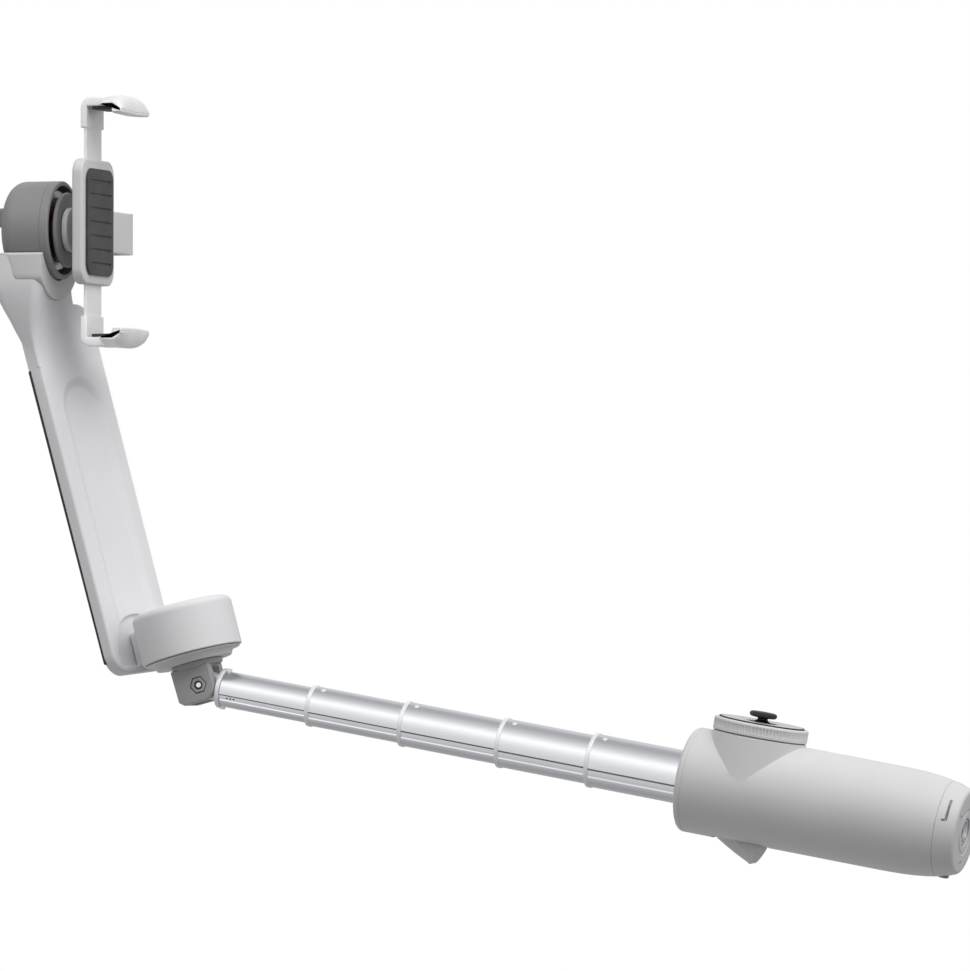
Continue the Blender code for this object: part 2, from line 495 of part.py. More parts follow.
def jaw_parts(mats, clamp, name, sign):
    """One hooked jaw: a tongue in the plate, a shelf over the edge and a lip in front."""
    under = PHONE_HALF + 1.1 * MM
    top = PHONE_HALF + 4.6 * MM
    lip = PHONE_FRONT + 0.5 * MM
    outer = PHONE_FRONT + 4.3 * MM
    hook = [(-39.6 * MM, 30 * MM), (-37.2 * MM, 30 * MM), (-37.2 * MM, under), (lip, under),
            (lip, PHONE_HALF - 1.8 * MM), (lip + 0.9 * MM, PHONE_HALF - 2.3 * MM), (outer, PHONE_HALF - 1.0 * MM)]
    hook += arc((outer - 3.2 * MM, top - 3.2 * MM), 3.2 * MM, 0, 90, 4)
    hook += arc((-39.6 * MM + 3.4 * MM, top - 3.4 * MM), 3.4 * MM, 90, 180, 4)
    flip = Matrix.Scale(sign, 4, (0, 0, 1))
    jaw = add(f"jaw_{name}", prism(hook, -JAW_HALF, JAW_HALF), mats["satin"], clamp, flip @ XZ_TO_Y)
    for side in (-1, 1):
        beside = block((-45 * MM, -32.2 * MM), sorted((side * NECK_HALF, side * 20 * MM)), (20 * MM, 50 * MM))
        shape(jaw, beside, "DIFFERENCE", flip)
    tongue = block((-38.7 * MM, -37.7 * MM), (-7 * MM, 7 * MM), (4.2 * MM, 33 * MM))
    shape(jaw, tongue, "UNION", flip)
    pad = block((PHONE_BACK - 0.6 * MM, PHONE_FRONT), (-7.2 * MM, 7.2 * MM), (PHONE_HALF, PHONE_HALF + 0.8 * MM))
    add(f"jaw_pad_{name}", pad, mats["rubber"], clamp, flip)


# ---------------------------------------------------------------- assembly
def palette():
    return {
        "shell": material("shell", (0.66, 0.66, 0.66), 0.5),
        "arm": material("arm", (0.62, 0.62, 0.62), 0.5),
        "grey": material("grey", (0.36, 0.36, 0.37), 0.5),
        "panel": material("panel", (0.50, 0.51, 0.52), 0.35),
        "dark": material("dark", (0.08, 0.08, 0.09), 0.6),
        "black": material("black", (0.02, 0.02, 0.02), 0.5),
        "rubber": material("rubber", (0.12, 0.12, 0.12), 0.8),
        "aluminium": material("aluminium", (0.78, 0.79, 0.82), 0.25, 1.0),
        "satin": material("satin", (0.75, 0.75, 0.76), 0.35, 0.9),
        "steel": material("steel", (0.60, 0.60, 0.62), 0.35, 1.0),
        "chrome": material("chrome", (0.85, 0.85, 0.86), 0.12, 1.0),
        "brass": material("brass", (0.72, 0.55, 0.28), 0.35, 1.0),
        "copper": material("copper", (0.65, 0.30, 0.14), 0.4, 1.0),
        "board": material("board", (0.05, 0.22, 0.12), 0.5),
        "battery": material("battery", (0.10, 0.16, 0.34), 0.5),
    }


def build():
    clear_scene()
    mats = palette()
    stick = frame("stick_frame", turn=(0, STICK_PITCH, 0))
    handle_parts(mats, stick)
    control_parts(mats, stick)
    trigger_parts(mats, stick)
    tripod_parts(mats, stick)
    tube_parts(mats, stick)
    rod_end(mats, stick)
    pin = Matrix.Rotation(math.radians(STICK_PITCH), 4, "Y") @ Vector((FOLD_X, 0, 0))
    fold = frame("fold_axis", location=pin, turn=(0, -PAN_LEAN, 0))
    yoke_parts(mats, fold)
    lean = Matrix.Rotation(math.radians(-PAN_LEAN), 4, "Y")
    pan = frame("pan_axis", location=pin + lean @ Vector((PAN_OFFSET, 0, 0)), turn=(0, -PAN_LEAN, 0))
    pan_parts(mats, pan)
    head = frame("head_frame", location=pin)
    arm = frame("arm_frame", pan, turn=(0, 0, ARM_TURN))
    arm_parts(mats, arm, head)
    roll_parts(mats, frame("roll_axis", head, (0, 0, ROLL_Z)))
    tilt_parts(mats, frame("tilt_axis", head, (TILT_X, 0, ROLL_Z)))
    clamp_parts(mats, frame("clamp_frame", head, (0, 0, HEAD_Z)))


build()
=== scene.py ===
import json
import math

import bmesh
import bpy
from mathutils import Matrix, Vector

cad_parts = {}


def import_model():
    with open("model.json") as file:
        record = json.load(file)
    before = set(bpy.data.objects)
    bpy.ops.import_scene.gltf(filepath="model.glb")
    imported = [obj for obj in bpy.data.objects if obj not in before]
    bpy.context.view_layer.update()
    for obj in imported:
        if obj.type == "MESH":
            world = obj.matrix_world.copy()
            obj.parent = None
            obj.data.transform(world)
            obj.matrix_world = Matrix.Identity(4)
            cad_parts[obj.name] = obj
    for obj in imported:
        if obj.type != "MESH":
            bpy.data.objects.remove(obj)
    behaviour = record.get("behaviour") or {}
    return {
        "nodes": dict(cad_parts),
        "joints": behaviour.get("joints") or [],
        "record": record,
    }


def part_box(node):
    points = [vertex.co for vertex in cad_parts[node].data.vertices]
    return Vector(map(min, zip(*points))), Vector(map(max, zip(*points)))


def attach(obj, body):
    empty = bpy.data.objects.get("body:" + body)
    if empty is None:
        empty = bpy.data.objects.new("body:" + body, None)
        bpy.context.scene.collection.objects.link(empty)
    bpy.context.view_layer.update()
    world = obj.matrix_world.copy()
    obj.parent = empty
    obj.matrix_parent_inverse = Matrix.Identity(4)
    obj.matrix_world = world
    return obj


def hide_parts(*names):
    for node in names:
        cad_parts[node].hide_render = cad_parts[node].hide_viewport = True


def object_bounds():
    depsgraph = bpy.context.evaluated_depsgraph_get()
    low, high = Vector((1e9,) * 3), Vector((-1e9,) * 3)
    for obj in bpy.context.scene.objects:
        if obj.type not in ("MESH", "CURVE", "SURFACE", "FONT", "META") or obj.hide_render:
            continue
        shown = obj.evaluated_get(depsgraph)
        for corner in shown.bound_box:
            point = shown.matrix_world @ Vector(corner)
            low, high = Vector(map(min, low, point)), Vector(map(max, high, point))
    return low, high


# Looks for the phone gimbal on its telescopic stick: fine shells, metal, rubber, light and camera.
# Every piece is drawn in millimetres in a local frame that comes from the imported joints, then seated
# in the row frame.  Local frames: STICK (X towards the base end), FOLD and PAN (along the pan axis),
# ARM (X towards the phone, Z up the arm), ROLL, TILT and CLAMP (all level).

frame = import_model()
cad_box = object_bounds()

MM = 0.001
JOINTS = {j["name"]: j for j in frame["joints"]}

# ---- driving sizes, mm ----
# Most are the part's own.  The looks differ from it in the handle's radii, the boss top, the collar,
# the arm's lower end, the tubes' mouths (1.2 nearer the handle) and their length (shorter by 1.2).
HANDLE_FRONT, CAP_SEAM = -90.6, -6.4
HANDLE_RADIUS, SEAM_RADIUS = 16.5, 15.1
CONTROL_X, WHEEL_RADIUS, BOSS_TOP, PANEL_TOP = -70.4, 14.85, 17.1, 21.9
TUBE_RADIUS, TUBE_STEP, TUBE_WALL, TUBE_LENGTH = 8.4, 0.675, 0.375, 40.8
MOUTHS = (-122.8, -152.9, -185.8, -217.3)
COLLAR_END, COLLAR_FACE, FOLD_X = -246.8, -248.1, -253.4
DRUM_RADIUS, DRUM_BOTTOM, DRUM_TOP = 16.2, 10.3, 26.5
ARM_IN, ARM_OUT, ARM_HALF, ARM_BOTTOM, ARM_TOP = -18.2, -22.8, 16.4, 9.9, 131.0
ARM_TURN = -18.0
ROLL_RADIUS, ROLL_REAR, ROLL_FRONT, ROLL_FILLET = 15.7, -65.0, -48.0, 5.0
CRADLE_RADIUS = 22.5
PHONE_HALF, PHONE_BACK, PHONE_FRONT = 35.75, -35.45, -27.8
PLATE_BACK, PLATE_FRONT = -39.9, -36.3
JAW_HALF, NECK_HALF = 13.4, 8.0
BUTTON_X, PORT_X, SHELL_WALL = -57.0, -83.0, 1.6
PIN_HOLE = 1.8
ROUND = 96


# ---------------------------------------------------------------- local frames
def basis(origin, x_axis, z_axis):
    x, z = Vector(x_axis).normalized(), Vector(z_axis).normalized()
    y = z.cross(x)
    rows = [(x[i], y[i], z[i], origin[i]) for i in range(3)]
    return Matrix(rows + [(0, 0, 0, 1)])


def across(z_axis):
    """The level-going X axis that goes with a Z axis that leans in the XZ plane."""
    return (z_axis[2], 0, -z_axis[0])


def spot(joint):
    return JOINTS[joint]["pos_m"]


PAN_AXIS = JOINTS["pan"]["axis"]
STICK = basis((0, 0, 0), JOINTS["rod_5_slide"]["axis"], JOINTS["wheel_turn"]["axis"])
FOLD = basis(spot("head_fold"), across(PAN_AXIS), PAN_AXIS)
PAN = basis(spot("pan"), across(PAN_AXIS), PAN_AXIS)
ARM = PAN @ Matrix.Rotation(math.radians(ARM_TURN), 4, "Z")
ROLL = Matrix.Translation(spot("roll"))
TILT = Matrix.Translation(spot("tilt"))
TRIGGER = basis(spot("trigger_pull"), JOINTS["rod_5_slide"]["axis"], JOINTS["wheel_turn"]["axis"])
WHEEL = STICK @ Matrix.Translation((CONTROL_X * MM, 0, 0))
JOYSTICK = basis(spot("joystick_side"), JOINTS["rod_5_slide"]["axis"], JOINTS["wheel_turn"]["axis"])
pad_low, pad_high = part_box("rest_pad")
CLAMP = Matrix.Translation((spot("roll")[0], 0, (pad_low.z + pad_high.z) / 2))

TO_X = Matrix.Rotation(math.radians(90), 4, "Y")
TO_Y = Matrix.Rotation(math.radians(-90), 4, "X")
XZ_TO_Y = Matrix(((1, 0, 0, 0), (0, 0, 1, 0), (0, 1, 0, 0), (0, 0, 0, 1)))
YZ_TO_X = Matrix(((0, 0, 1, 0), (1, 0, 0, 0), (0, 1, 0, 0), (0, 0, 0, 1)))


def move(x, y, z):
    return Matrix.Translation((x, y, z))


def local(place, home):
    """A frame given in metres, as millimetres in another frame."""
    inside = home.inverted() @ place
    inside.translation /= MM
    return inside


# ---------------------------------------------------------------- outlines, mm
def arc(centre, radius, start, end, count):
    return [(centre[0] + radius * math.cos(math.radians(start + (end - start) * i / count)),
             centre[1] + radius * math.sin(math.radians(start + (end - start) * i / count)))
            for i in range(count + 1)]


def rounded(half_x, half_y, radius, centre=(0, 0), count=10):
    points = []
    for sx, sy, start in ((1, 1, 0), (-1, 1, 90), (-1, -1, 180), (1, -1, 270)):
        corner = (centre[0] + sx * (half_x - radius), centre[1] + sy * (half_y - radius))
        points += arc(corner, radius, start, start + 90, count)
    return points


def capsule(half, low, high, centre, count=20):
    """Round at the top, straight sides, square at the bottom."""
    return arc((centre, high - half), half, 0, 180, count) + [(centre - half, low), (centre + half, low)]


def inset(outline, distance):
    """The outline moved inwards, whichever way round it runs."""
    points = [Vector(p) for p in outline]
    n = len(points)
    turn = 1 if sum(points[i - 1].cross(points[i]) for i in range(n)) > 0 else -1
    out = []
    for i in range(n):
        before, after = points[i] - points[i - 1], points[(i + 1) % n] - points[i]
        if before.length < 1e-6 or after.length < 1e-6:
            before = after = before + after
        before.normalize()
        after.normalize()
        normal = Vector((-(before + after).y, (before + after).x)) * turn
        normal.normalize()
        lean = max(0.5, normal.dot(Vector((-after.y, after.x)) * turn))
        out.append(tuple(points[i] + normal * distance / lean))
    return out


# ---------------------------------------------------------------- solids, mm
def loft(rings):
    bm = bmesh.new()
    rows = [[bm.verts.new(p) for p in ring] for ring in rings]
    n = len(rows[0])
    for low, high in zip(rows, rows[1:]):
        for i in range(n):
            bm.faces.new((low[i], low[(i + 1) % n], high[(i + 1) % n], high[i]))
    bm.faces.new(rows[0])
    bm.faces.new(rows[-1])
    bmesh.ops.recalc_face_normals(bm, faces=bm.faces)
    return bm


def slab(outline, low, high, ease_low=0.0, ease_high=0.0, steps=4):
    """An outline in XY drawn up from low to high, with rounded edges at either end."""
    rings = []
    for end, ease, sign in ((low, ease_low, 1), (high, ease_high, -1)):
        part = []
        for i in range(steps + 1 if ease else 1):
            angle = math.radians(90 * i / steps) if ease else math.radians(90)
            shrink = ease * (1 - math.sin(angle))
            level = end + sign * ease * (1 - math.cos(angle))
            ring = inset(outline, shrink) if shrink > 1e-6 else outline
            part.append([(x, y, level) for x, y in ring])
        rings += part if sign > 0 else part[::-1]
    return loft(rings)


def turned(profile, sides=ROUND, reshape=None):
    """Turned about Z from a closed (radius, height) outline; reshape gives each point a new radius."""
    bm = bmesh.new()
    rows = []
    for radius, height in profile:
        if radius < 1e-7:
            rows.append([bm.verts.new((0, 0, height))] * sides)
            continue
        row = []
        for i in range(sides):
            angle = math.tau * i / sides
            r = reshape(angle, radius, height) if reshape else radius
            row.append(bm.verts.new((r * math.cos(angle), r * math.sin(angle), height)))
        rows.append(row)
    for low, high in zip(rows, rows[1:] + rows[:1]):
        for i in range(sides):
            j = (i + 1) % sides
            corners = list(dict.fromkeys((low[i], low[j], high[j], high[i])))
            if len(corners) > 2:
                bm.faces.new(corners)
    bmesh.ops.recalc_face_normals(bm, faces=bm.faces)
    return bm


def tube(low, high, inner, outer, ease=0.2):
    """A ring outline with its four edges eased."""
    return [(inner, low + ease), (inner + ease, low), (outer - ease, low), (outer, low + ease),
            (outer, high - ease), (outer - ease, high), (inner + ease, high), (inner, high - ease)]


def box(x, y, z, ease=0.0):
    outline = [(x[0], y[0]), (x[1], y[0]), (x[1], y[1]), (x[0], y[1])]
    if ease:
        middle = ((x[0] + x[1]) / 2, (y[0] + y[1]) / 2)
        outline = rounded((x[1] - x[0]) / 2, (y[1] - y[0]) / 2, ease, middle, 4)
    return slab(outline, z[0], z[1], ease * 0.9, ease * 0.9)


def rod(radius, low, high, sides=24):
    return turned([(0, low), (radius, low), (radius, high), (0, high)], sides)


# ---------------------------------------------------------------- pieces
def start(name, bm, place=Matrix()):
    bmesh.ops.transform(bm, matrix=place, verts=bm.verts)
    bmesh.ops.recalc_face_normals(bm, faces=bm.faces)
    mesh = bpy.data.meshes.new(name)
    bm.to_mesh(mesh)
    bm.free()
    obj = bpy.data.objects.new(name, mesh)
    bpy.context.scene.collection.objects.link(obj)
    return obj


def combine(obj, bm, place, operation):
    tool = start("tool", bm, place)
    step = obj.modifiers.new("step", "BOOLEAN")
    step.operation = operation
    step.object = tool
    step.solver = "EXACT"
    graph = bpy.context.evaluated_depsgraph_get()
    made, old = bpy.data.meshes.new_from_object(obj.evaluated_get(graph)), obj.data
    obj.modifiers.clear()
    obj.data = made
    bpy.data.meshes.remove(old)
    bpy.data.meshes.remove(tool.data)


def cut(obj, bm, place=Matrix()):
    combine(obj, bm, place, "DIFFERENCE")


def join(obj, bm, place=Matrix()):
    combine(obj, bm, place, "UNION")


def seat(obj, place, finish, body, nodes=(), crease=28):
    """Puts a finished solid in the row frame, with its material, body and the CAD nodes it stands for."""
    bm = bmesh.new()
    bm.from_mesh(obj.data)
    bmesh.ops.remove_doubles(bm, verts=bm.verts, dist=0.002)
    bmesh.ops.dissolve_degenerate(bm, edges=bm.edges, dist=0.001)
    bmesh.ops.transform(bm, matrix=place @ Matrix.Scale(MM, 4), verts=bm.verts)
    bm.to_mesh(obj.data)
    bm.free()
    obj.data.materials.clear()
    obj.data.materials.append(FINISHES[finish])
    obj.data.shade_smooth()
    obj.data.set_sharp_from_angle(angle=math.radians(crease))
    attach(obj, body)
    if nodes:
        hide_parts(*nodes)
    return obj


# ---------------------------------------------------------------- materials
class Finish:
    """A Principled material under construction."""

    def __init__(self, name, colour, roughness, metallic=0.0):
        self.mat = bpy.data.materials.new(f"gimbal_{name}")
        self.mat.use_nodes = True
        self.tree = self.mat.node_tree
        self.shader = self.tree.nodes["Principled BSDF"]
        self.shader.inputs["Metallic"].default_value = metallic
        self.shader.inputs["Roughness"].default_value = roughness
        self.shader.inputs["Base Color"].default_value = (*colour, 1)
        self.colour = colour
        self.roughness = roughness
        self.coords = self.tree.nodes.new("ShaderNodeTexCoord").outputs["Object"]
        self.relief = None

    def placed(self, scale, turn=(0, 0, 0)):
        node = self.tree.nodes.new("ShaderNodeMapping")
        node.inputs["Scale"].default_value = scale
        node.inputs["Rotation"].default_value = [math.radians(t) for t in turn]
        self.tree.links.new(self.coords, node.inputs["Vector"])
        return node.outputs["Vector"]

    def noise(self, scale, detail=3.0, vector=None):
        node = self.tree.nodes.new("ShaderNodeTexNoise")
        node.inputs["Scale"].default_value = scale
        node.inputs["Detail"].default_value = detail
        self.tree.links.new(vector or self.coords, node.inputs["Vector"])
        return node.outputs["Fac"]

    def cells(self, scale, vector=None):
        node = self.tree.nodes.new("ShaderNodeTexVoronoi")
        node.inputs["Scale"].default_value = scale
        self.tree.links.new(vector or self.coords, node.inputs["Vector"])
        return node.outputs["Distance"]

    def ramp(self, factor, low, high, stops=(0.35, 0.65)):
        node = self.tree.nodes.new("ShaderNodeValToRGB")
        for element, place, colour in zip(node.color_ramp.elements, stops, (low, high)):
            element.position = place
            element.color = (*colour, 1)
        self.tree.links.new(factor, node.inputs["Fac"])
        return node.outputs["Color"]

    def mottle(self, factor, amount, stops=(0.35, 0.65)):
        """The colour wanders by a small share of itself."""
        low = [c * (1 - amount) for c in self.colour]
        high = [min(1.0, c * (1 + amount)) for c in self.colour]
        self.tree.links.new(self.ramp(factor, low, high, stops), self.shader.inputs["Base Color"])
        return self

    def paint(self, factor, low, high, stops=(0.35, 0.65)):
        self.tree.links.new(self.ramp(factor, low, high, stops), self.shader.inputs["Base Color"])
        return self

    def sheen_spread(self, factor, amount):
        node = self.tree.nodes.new("ShaderNodeMapRange")
        node.inputs["To Min"].default_value = max(0.02, self.roughness - amount)
        node.inputs["To Max"].default_value = min(1.0, self.roughness + amount)
        self.tree.links.new(factor, node.inputs["Value"])
        self.tree.links.new(node.outputs["Result"], self.shader.inputs["Roughness"])
        return self

    def bump(self, height, depth_mm, strength=1.0):
        node = self.tree.nodes.new("ShaderNodeBump")
        node.inputs["Strength"].default_value = strength
        node.inputs["Distance"].default_value = depth_mm * MM
        self.tree.links.new(height, node.inputs["Height"])
        if self.relief:
            self.tree.links.new(self.relief, node.inputs["Normal"])
        self.relief = node.outputs["Normal"]
        self.tree.links.new(self.relief, self.shader.inputs["Normal"])
        return self

    def put(self, socket, value):
        self.shader.inputs[socket].default_value = value
        return self


STICK_TURN = (0, -math.degrees(math.asin(-JOINTS["rod_5_slide"]["axis"][2])), 0)


def moulded(name, colour, roughness, grain=0.006, gloss=0.45):
    """Injection-moulded plastic with a fine spark-eroded grain."""
    f = Finish(name, colour, roughness).put("Specular IOR Level", gloss)
    f.mottle(f.noise(45, 4), 0.018)
    f.sheen_spread(f.noise(700, 3), 0.05)
    return f.bump(f.noise(5200, 2), grain).bump(f.cells(2600), grain * 0.5).mat


def extruded(name, colour, roughness):
    """Anodised aluminium with draw lines along the stick."""
    f = Finish(name, colour, roughness, 1.0)
    lines = f.placed((90, 5200, 5200), STICK_TURN)
    f.mottle(f.noise(1, 3, lines), 0.02)
    f.sheen_spread(f.noise(1, 2, f.placed((30, 2400, 2400), STICK_TURN)), 0.06)
    return f.bump(f.noise(1, 3, lines), 0.0006).mat


def blasted(name, colour, roughness, metallic=1.0):
    """Bead-blasted or satin metal."""
    f = Finish(name, colour, roughness, metallic)
    f.mottle(f.noise(160, 4), 0.025)
    f.sheen_spread(f.noise(900, 4), 0.06)
    return f.bump(f.noise(7000, 2), 0.002).mat


def brushed(name, colour, roughness, stretch=(300, 300, 9000)):
    """Metal with fine machining lines."""
    f = Finish(name, colour, roughness, 1.0)
    lines = f.placed(stretch)
    f.mottle(f.noise(1, 4, lines), 0.06)
    f.sheen_spread(f.noise(1, 3, lines), 0.07)
    return f.bump(f.noise(1, 4, lines), 0.002).mat


def rubbery(name, colour, roughness):
    """Silicone rubber: a dull skin with a fine pebble and a little dust."""
    f = Finish(name, colour, roughness).put("Specular IOR Level", 0.35).put("Sheen Weight", 0.12)
    f.mottle(f.noise(120, 5), 0.16)
    f.sheen_spread(f.noise(500, 4), 0.08)
    return f.bump(f.cells(3200), 0.02).bump(f.noise(9000, 2), 0.006).mat


def wound(name, colour, roughness):
    """Enamelled copper wire laid side by side."""
    f = Finish(name, colour, roughness, 1.0).put("Coat Weight", 0.5)
    node = f.tree.nodes.new("ShaderNodeTexWave")
    node.inputs["Scale"].default_value = 900
    node.inputs["Distortion"].default_value = 0.6
    f.tree.links.new(f.coords, node.inputs["Vector"])
    # The wave paints alternating dark and bright bands across the turns: painted shade between the wires and
    # painted highlight along them.
    low, high = [c * 0.45 for c in colour], [min(1, c * 1.25) for c in colour]
    f.paint(node.outputs["Fac"], low, high, (0.1, 0.8))
    return f.bump(node.outputs["Fac"], 0.08).mat


def printed(name, colour, roughness):
    """Circuit board: solder mask with pale tracks and pads."""
    f = Finish(name, colour, roughness).put("Coat Weight", 0.4)
    low, high = [c * 0.7 for c in colour], [min(1, c * 2.6) for c in colour]
    f.paint(f.cells(700), low, high, (0.35, 0.5))
    return f.bump(f.cells(700), 0.03).mat


def wrapped(name, colour, roughness):
    """Shrink-wrapped cell: glossy film with faint wrinkles."""
    f = Finish(name, colour, roughness).put("Coat Weight", 0.6).put("Coat Roughness", 0.2)
    f.mottle(f.noise(80, 5), 0.12)
    f.sheen_spread(f.noise(300, 4), 0.08)
    return f.bump(f.noise(1, 4, f.placed((60, 700, 700), STICK_TURN)), 0.03).mat


FINISHES = {
    "shell": moulded("shell", (0.70, 0.70, 0.70), 0.46),
    "arm": moulded("arm", (0.79, 0.79, 0.8), 0.44),
    "grey": moulded("grey", (0.27, 0.27, 0.275), 0.45),
    "cast grey": moulded("cast_grey", (0.42, 0.42, 0.425), 0.42),
    "panel": moulded("panel", (0.58, 0.58, 0.59), 0.3, 0.002, 0.5),
    "dark": moulded("dark", (0.06, 0.06, 0.065), 0.5),
    "black": moulded("black", (0.012, 0.012, 0.013), 0.42, 0.004),
    "rubber": rubbery("rubber", (0.05, 0.05, 0.052), 0.72),
    "aluminium": extruded("aluminium", (0.84, 0.85, 0.875), 0.3),
    "satin": blasted("satin", (0.95, 0.95, 0.955), 0.4, 0.35),
    "steel": brushed("steel", (0.58, 0.58, 0.60), 0.34),
    "chrome": blasted("chrome", (0.86, 0.86, 0.87), 0.14),
    "brass": brushed("brass", (0.78, 0.58, 0.28), 0.3),
    "copper": wound("copper", (0.72, 0.30, 0.12), 0.35),
    "board": printed("board", (0.02, 0.12, 0.06), 0.35),
    "battery": wrapped("battery", (0.06, 0.12, 0.34), 0.35),
}


# ---------------------------------------------------------------- handle
def handle_body():
    """Turned shell with an eased front edge, a hairline seam behind it and the control boss on top."""
    fillet = 1.5
    outer = arc((HANDLE_RADIUS - fillet, HANDLE_FRONT + fillet), fillet, -90, 0, 8)
    groove = HANDLE_FRONT + 2.1
    outer += [(HANDLE_RADIUS, groove), (HANDLE_RADIUS - 0.16, groove + 0.1)]
    outer.append((HANDLE_RADIUS, groove + 0.24))
    straight, taper = HANDLE_FRONT + 4, -28.0
    outer += [(HANDLE_RADIUS, straight + (taper - straight) * i / 12) for i in range(13)]
    for i in range(1, 13):
        share = i / 12
        radius = HANDLE_RADIUS - (HANDLE_RADIUS - SEAM_RADIUS) * share ** 3
        outer.append((radius, taper + (CAP_SEAM - taper) * share))
    end = CAP_SEAM - 0.02
    outer[-1] = (SEAM_RADIUS, end - 0.08)
    outer += [(SEAM_RADIUS - 0.08, end), (SEAM_RADIUS - 1.2, end)]
    inside, mouth = HANDLE_RADIUS - SHELL_WALL, 10.2
    inner = [(inside, taper), (inside, HANDLE_FRONT + SHELL_WALL), (mouth, HANDLE_FRONT + SHELL_WALL),
             (mouth, HANDLE_FRONT + 0.3), (mouth + 0.3, HANDLE_FRONT)]
    body = start("handle_body", turned(outer + inner, 144), TO_X)
    foot, spread, well = 1.0, 0.107, 13.45
    boss = [(well, foot)]
    for i in range(9):
        height = foot + (BOSS_TOP - 0.3 - foot) * i / 8
        boss.append((WHEEL_RADIUS - 0.12 + spread * (BOSS_TOP - height), height))
    boss += [(WHEEL_RADIUS - 0.4, BOSS_TOP), (well, BOSS_TOP)]
    cut(body, rod(well + 0.01, 5.0, 30.0, 128), move(CONTROL_X, 0, 0))
    join(body, turned(boss, 136), move(CONTROL_X, 0, 0))
    cut(body, rod(inside - 0.02, HANDLE_FRONT + SHELL_WALL, taper, 128), TO_X)
    trigger_slot = rounded(9.4, 4.6, 1.2, (CONTROL_X + 0.35, 0), 6)
    cut(body, slab(trigger_slot, -19, -12))
    cut(body, rod(3.9, 12, 19, 40), move(BUTTON_X, 0, 0) @ TO_Y)
    cut(body, slab(rounded(4.8, 2.0, 1.9), 12, 19), move(PORT_X, 0, 0) @ XZ_TO_Y)
    seat(body, STICK, "shell", "handle", ["handle_shell"], 14)


def handle_front():
    """The ring round the rod's mouth, with a dark ring behind it that shows only in the gap to the handle's
    mouth: painted shade for that gap.
    """
    low = HANDLE_FRONT + 0.1
    ring = start("front_ring", turned(tube(low, low + 2.3, 8.8, 9.8, 0.25)), TO_X)
    seat(ring, STICK, "grey", "handle", ["front_bezel"])
    # The dark ring is painted shade in the gap between the front ring and the handle's mouth.
    mouth_shade = turned(tube(low + 0.5, low + 1.5, 8.82, 10.15, 0.1))
    seat(start("rod_wiper", mouth_shade, TO_X), STICK, "dark", "handle")


def power_key():
    profile = [(0, 13.2), (3.5, 13.2)] + arc((3.1, 16.1), 0.4, 0, 90, 5) + [(1.2, 16.35), (0, 16.32)]
    key = start("power_key", turned(profile, 48), move(BUTTON_X, 0, 0) @ TO_Y)
    seat(key, STICK, "grey", "power_key", ["power_button"])


def usb_port():
    shell = start("usb_shell", slab(rounded(4.4, 1.6, 1.5), 10.3, 15.8, 0.1, 0.15), XZ_TO_Y)
    cut(shell, slab(rounded(4.05, 1.25, 1.2), 11.5, 17), XZ_TO_Y)
    port = STICK @ Matrix.Translation((PORT_X * MM, 0, 0))
    seat(shell, port, "steel", "handle", ["usb_socket"])
    tongue = box((-3.3, 3.3), (11.2, 15.0), (-0.35, 0.35), 0.15)
    seat(start("usb_tongue", tongue), port, "black", "handle")


# ---------------------------------------------------------------- controls
RIBS = 84


def control_ring():
    """The wheel round the panel: fine upright ribs between two smooth bands."""
    under, top = BOSS_TOP + 0.3, PANEL_TOP - 0.45
    low_rib, high_rib = under + 0.9, top - 0.9
    heights = [under + 0.2, low_rib, low_rib + 0.18, (low_rib + high_rib) / 2, high_rib - 0.18, high_rib]
    profile = [(11.2, under), (WHEEL_RADIUS - 0.2, under)] + [(WHEEL_RADIUS, h) for h in heights]
    profile += arc((WHEEL_RADIUS - 0.7, top - 0.7), 0.7, 0, 90, 8)
    profile += [(13.75, top), (13.6, top - 0.15), (13.6, 20.1), (11.2, 20.1)]

    def rib(angle, radius, height):
        if radius < WHEEL_RADIUS - 0.01 or not low_rib < height < high_rib:
            return radius
        return radius - 0.3 * (0.5 - 0.5 * math.cos(RIBS * angle)) ** 2

    ring = start("control_ring", turned(profile, RIBS * 8, rib))
    seat(ring, WHEEL, "shell", "wheel", ["control_wheel"], 40)


def panel_disc():
    """The touch panel, slightly dished, with a black ring in the gap round it that shows as a thin line:
    painted shade for that gap.
    """
    low = PANEL_TOP - 1.5
    hole, foot = 4.9, 15.5
    panel = [(hole, PANEL_TOP - 0.3)]
    panel += [(5.1 + 7.6 * i / 6, PANEL_TOP - 0.22 + 0.2 * (i / 6) ** 2) for i in range(7)]
    panel += arc((12.75, PANEL_TOP - 0.17), 0.15, 80, 0, 4)
    panel += [(12.9, low), (10.8, low), (10.8, foot), (9.5, foot), (9.5, low), (hole, low)]
    seat(start("touch_disc", turned(panel)), WHEEL, "panel", "handle", ["touch_panel"])
    # The black ring fills the gap between panel and wheel: painted shade.
    gap_shade = tube(low, PANEL_TOP - 0.04, 12.93, 13.42, 0.08)
    seat(start("panel_gasket", turned(gap_shade)), WHEEL, "black", "handle")
    socket = start("stick_socket", turned(tube(foot, 21.2, 5.2, 6.4, 0.15), 64))
    seat(socket, WHEEL, "dark", "handle", ["joystick_housing"])


def thumb_stick():
    """Cap with a dished, finely ribbed top, a waisted stem and a domed skirt."""
    cap = [(0, 6.95), (1.8, 7.0), (2.9, 7.15), (3.5, 7.22)] + arc((3.5, 6.4), 0.84, 85, -75, 12)
    stem = [(2.6, 5.45), (1.75, 5.4), (1.6, 5.15), (1.6, 4.9), (1.75, 4.75)]
    dome = arc((0, 0), 5.0, 69, 33, 8)
    inside = [(3.7, 2.4), (1.2, 2.4), (1.2, 1.3), (1.6, 0), (1.1, -1.1), (0, -1.6)]

    def knurl(angle, radius, height):
        return radius - 0.07 * (math.cos(48 * angle) > 0) if radius > 4.2 else radius

    stick = turned(cap + stem + dome + inside, 192, knurl)
    seat(start("thumb_stick", stick), JOYSTICK, "black", "joystick_stick", ["joystick"], 45)


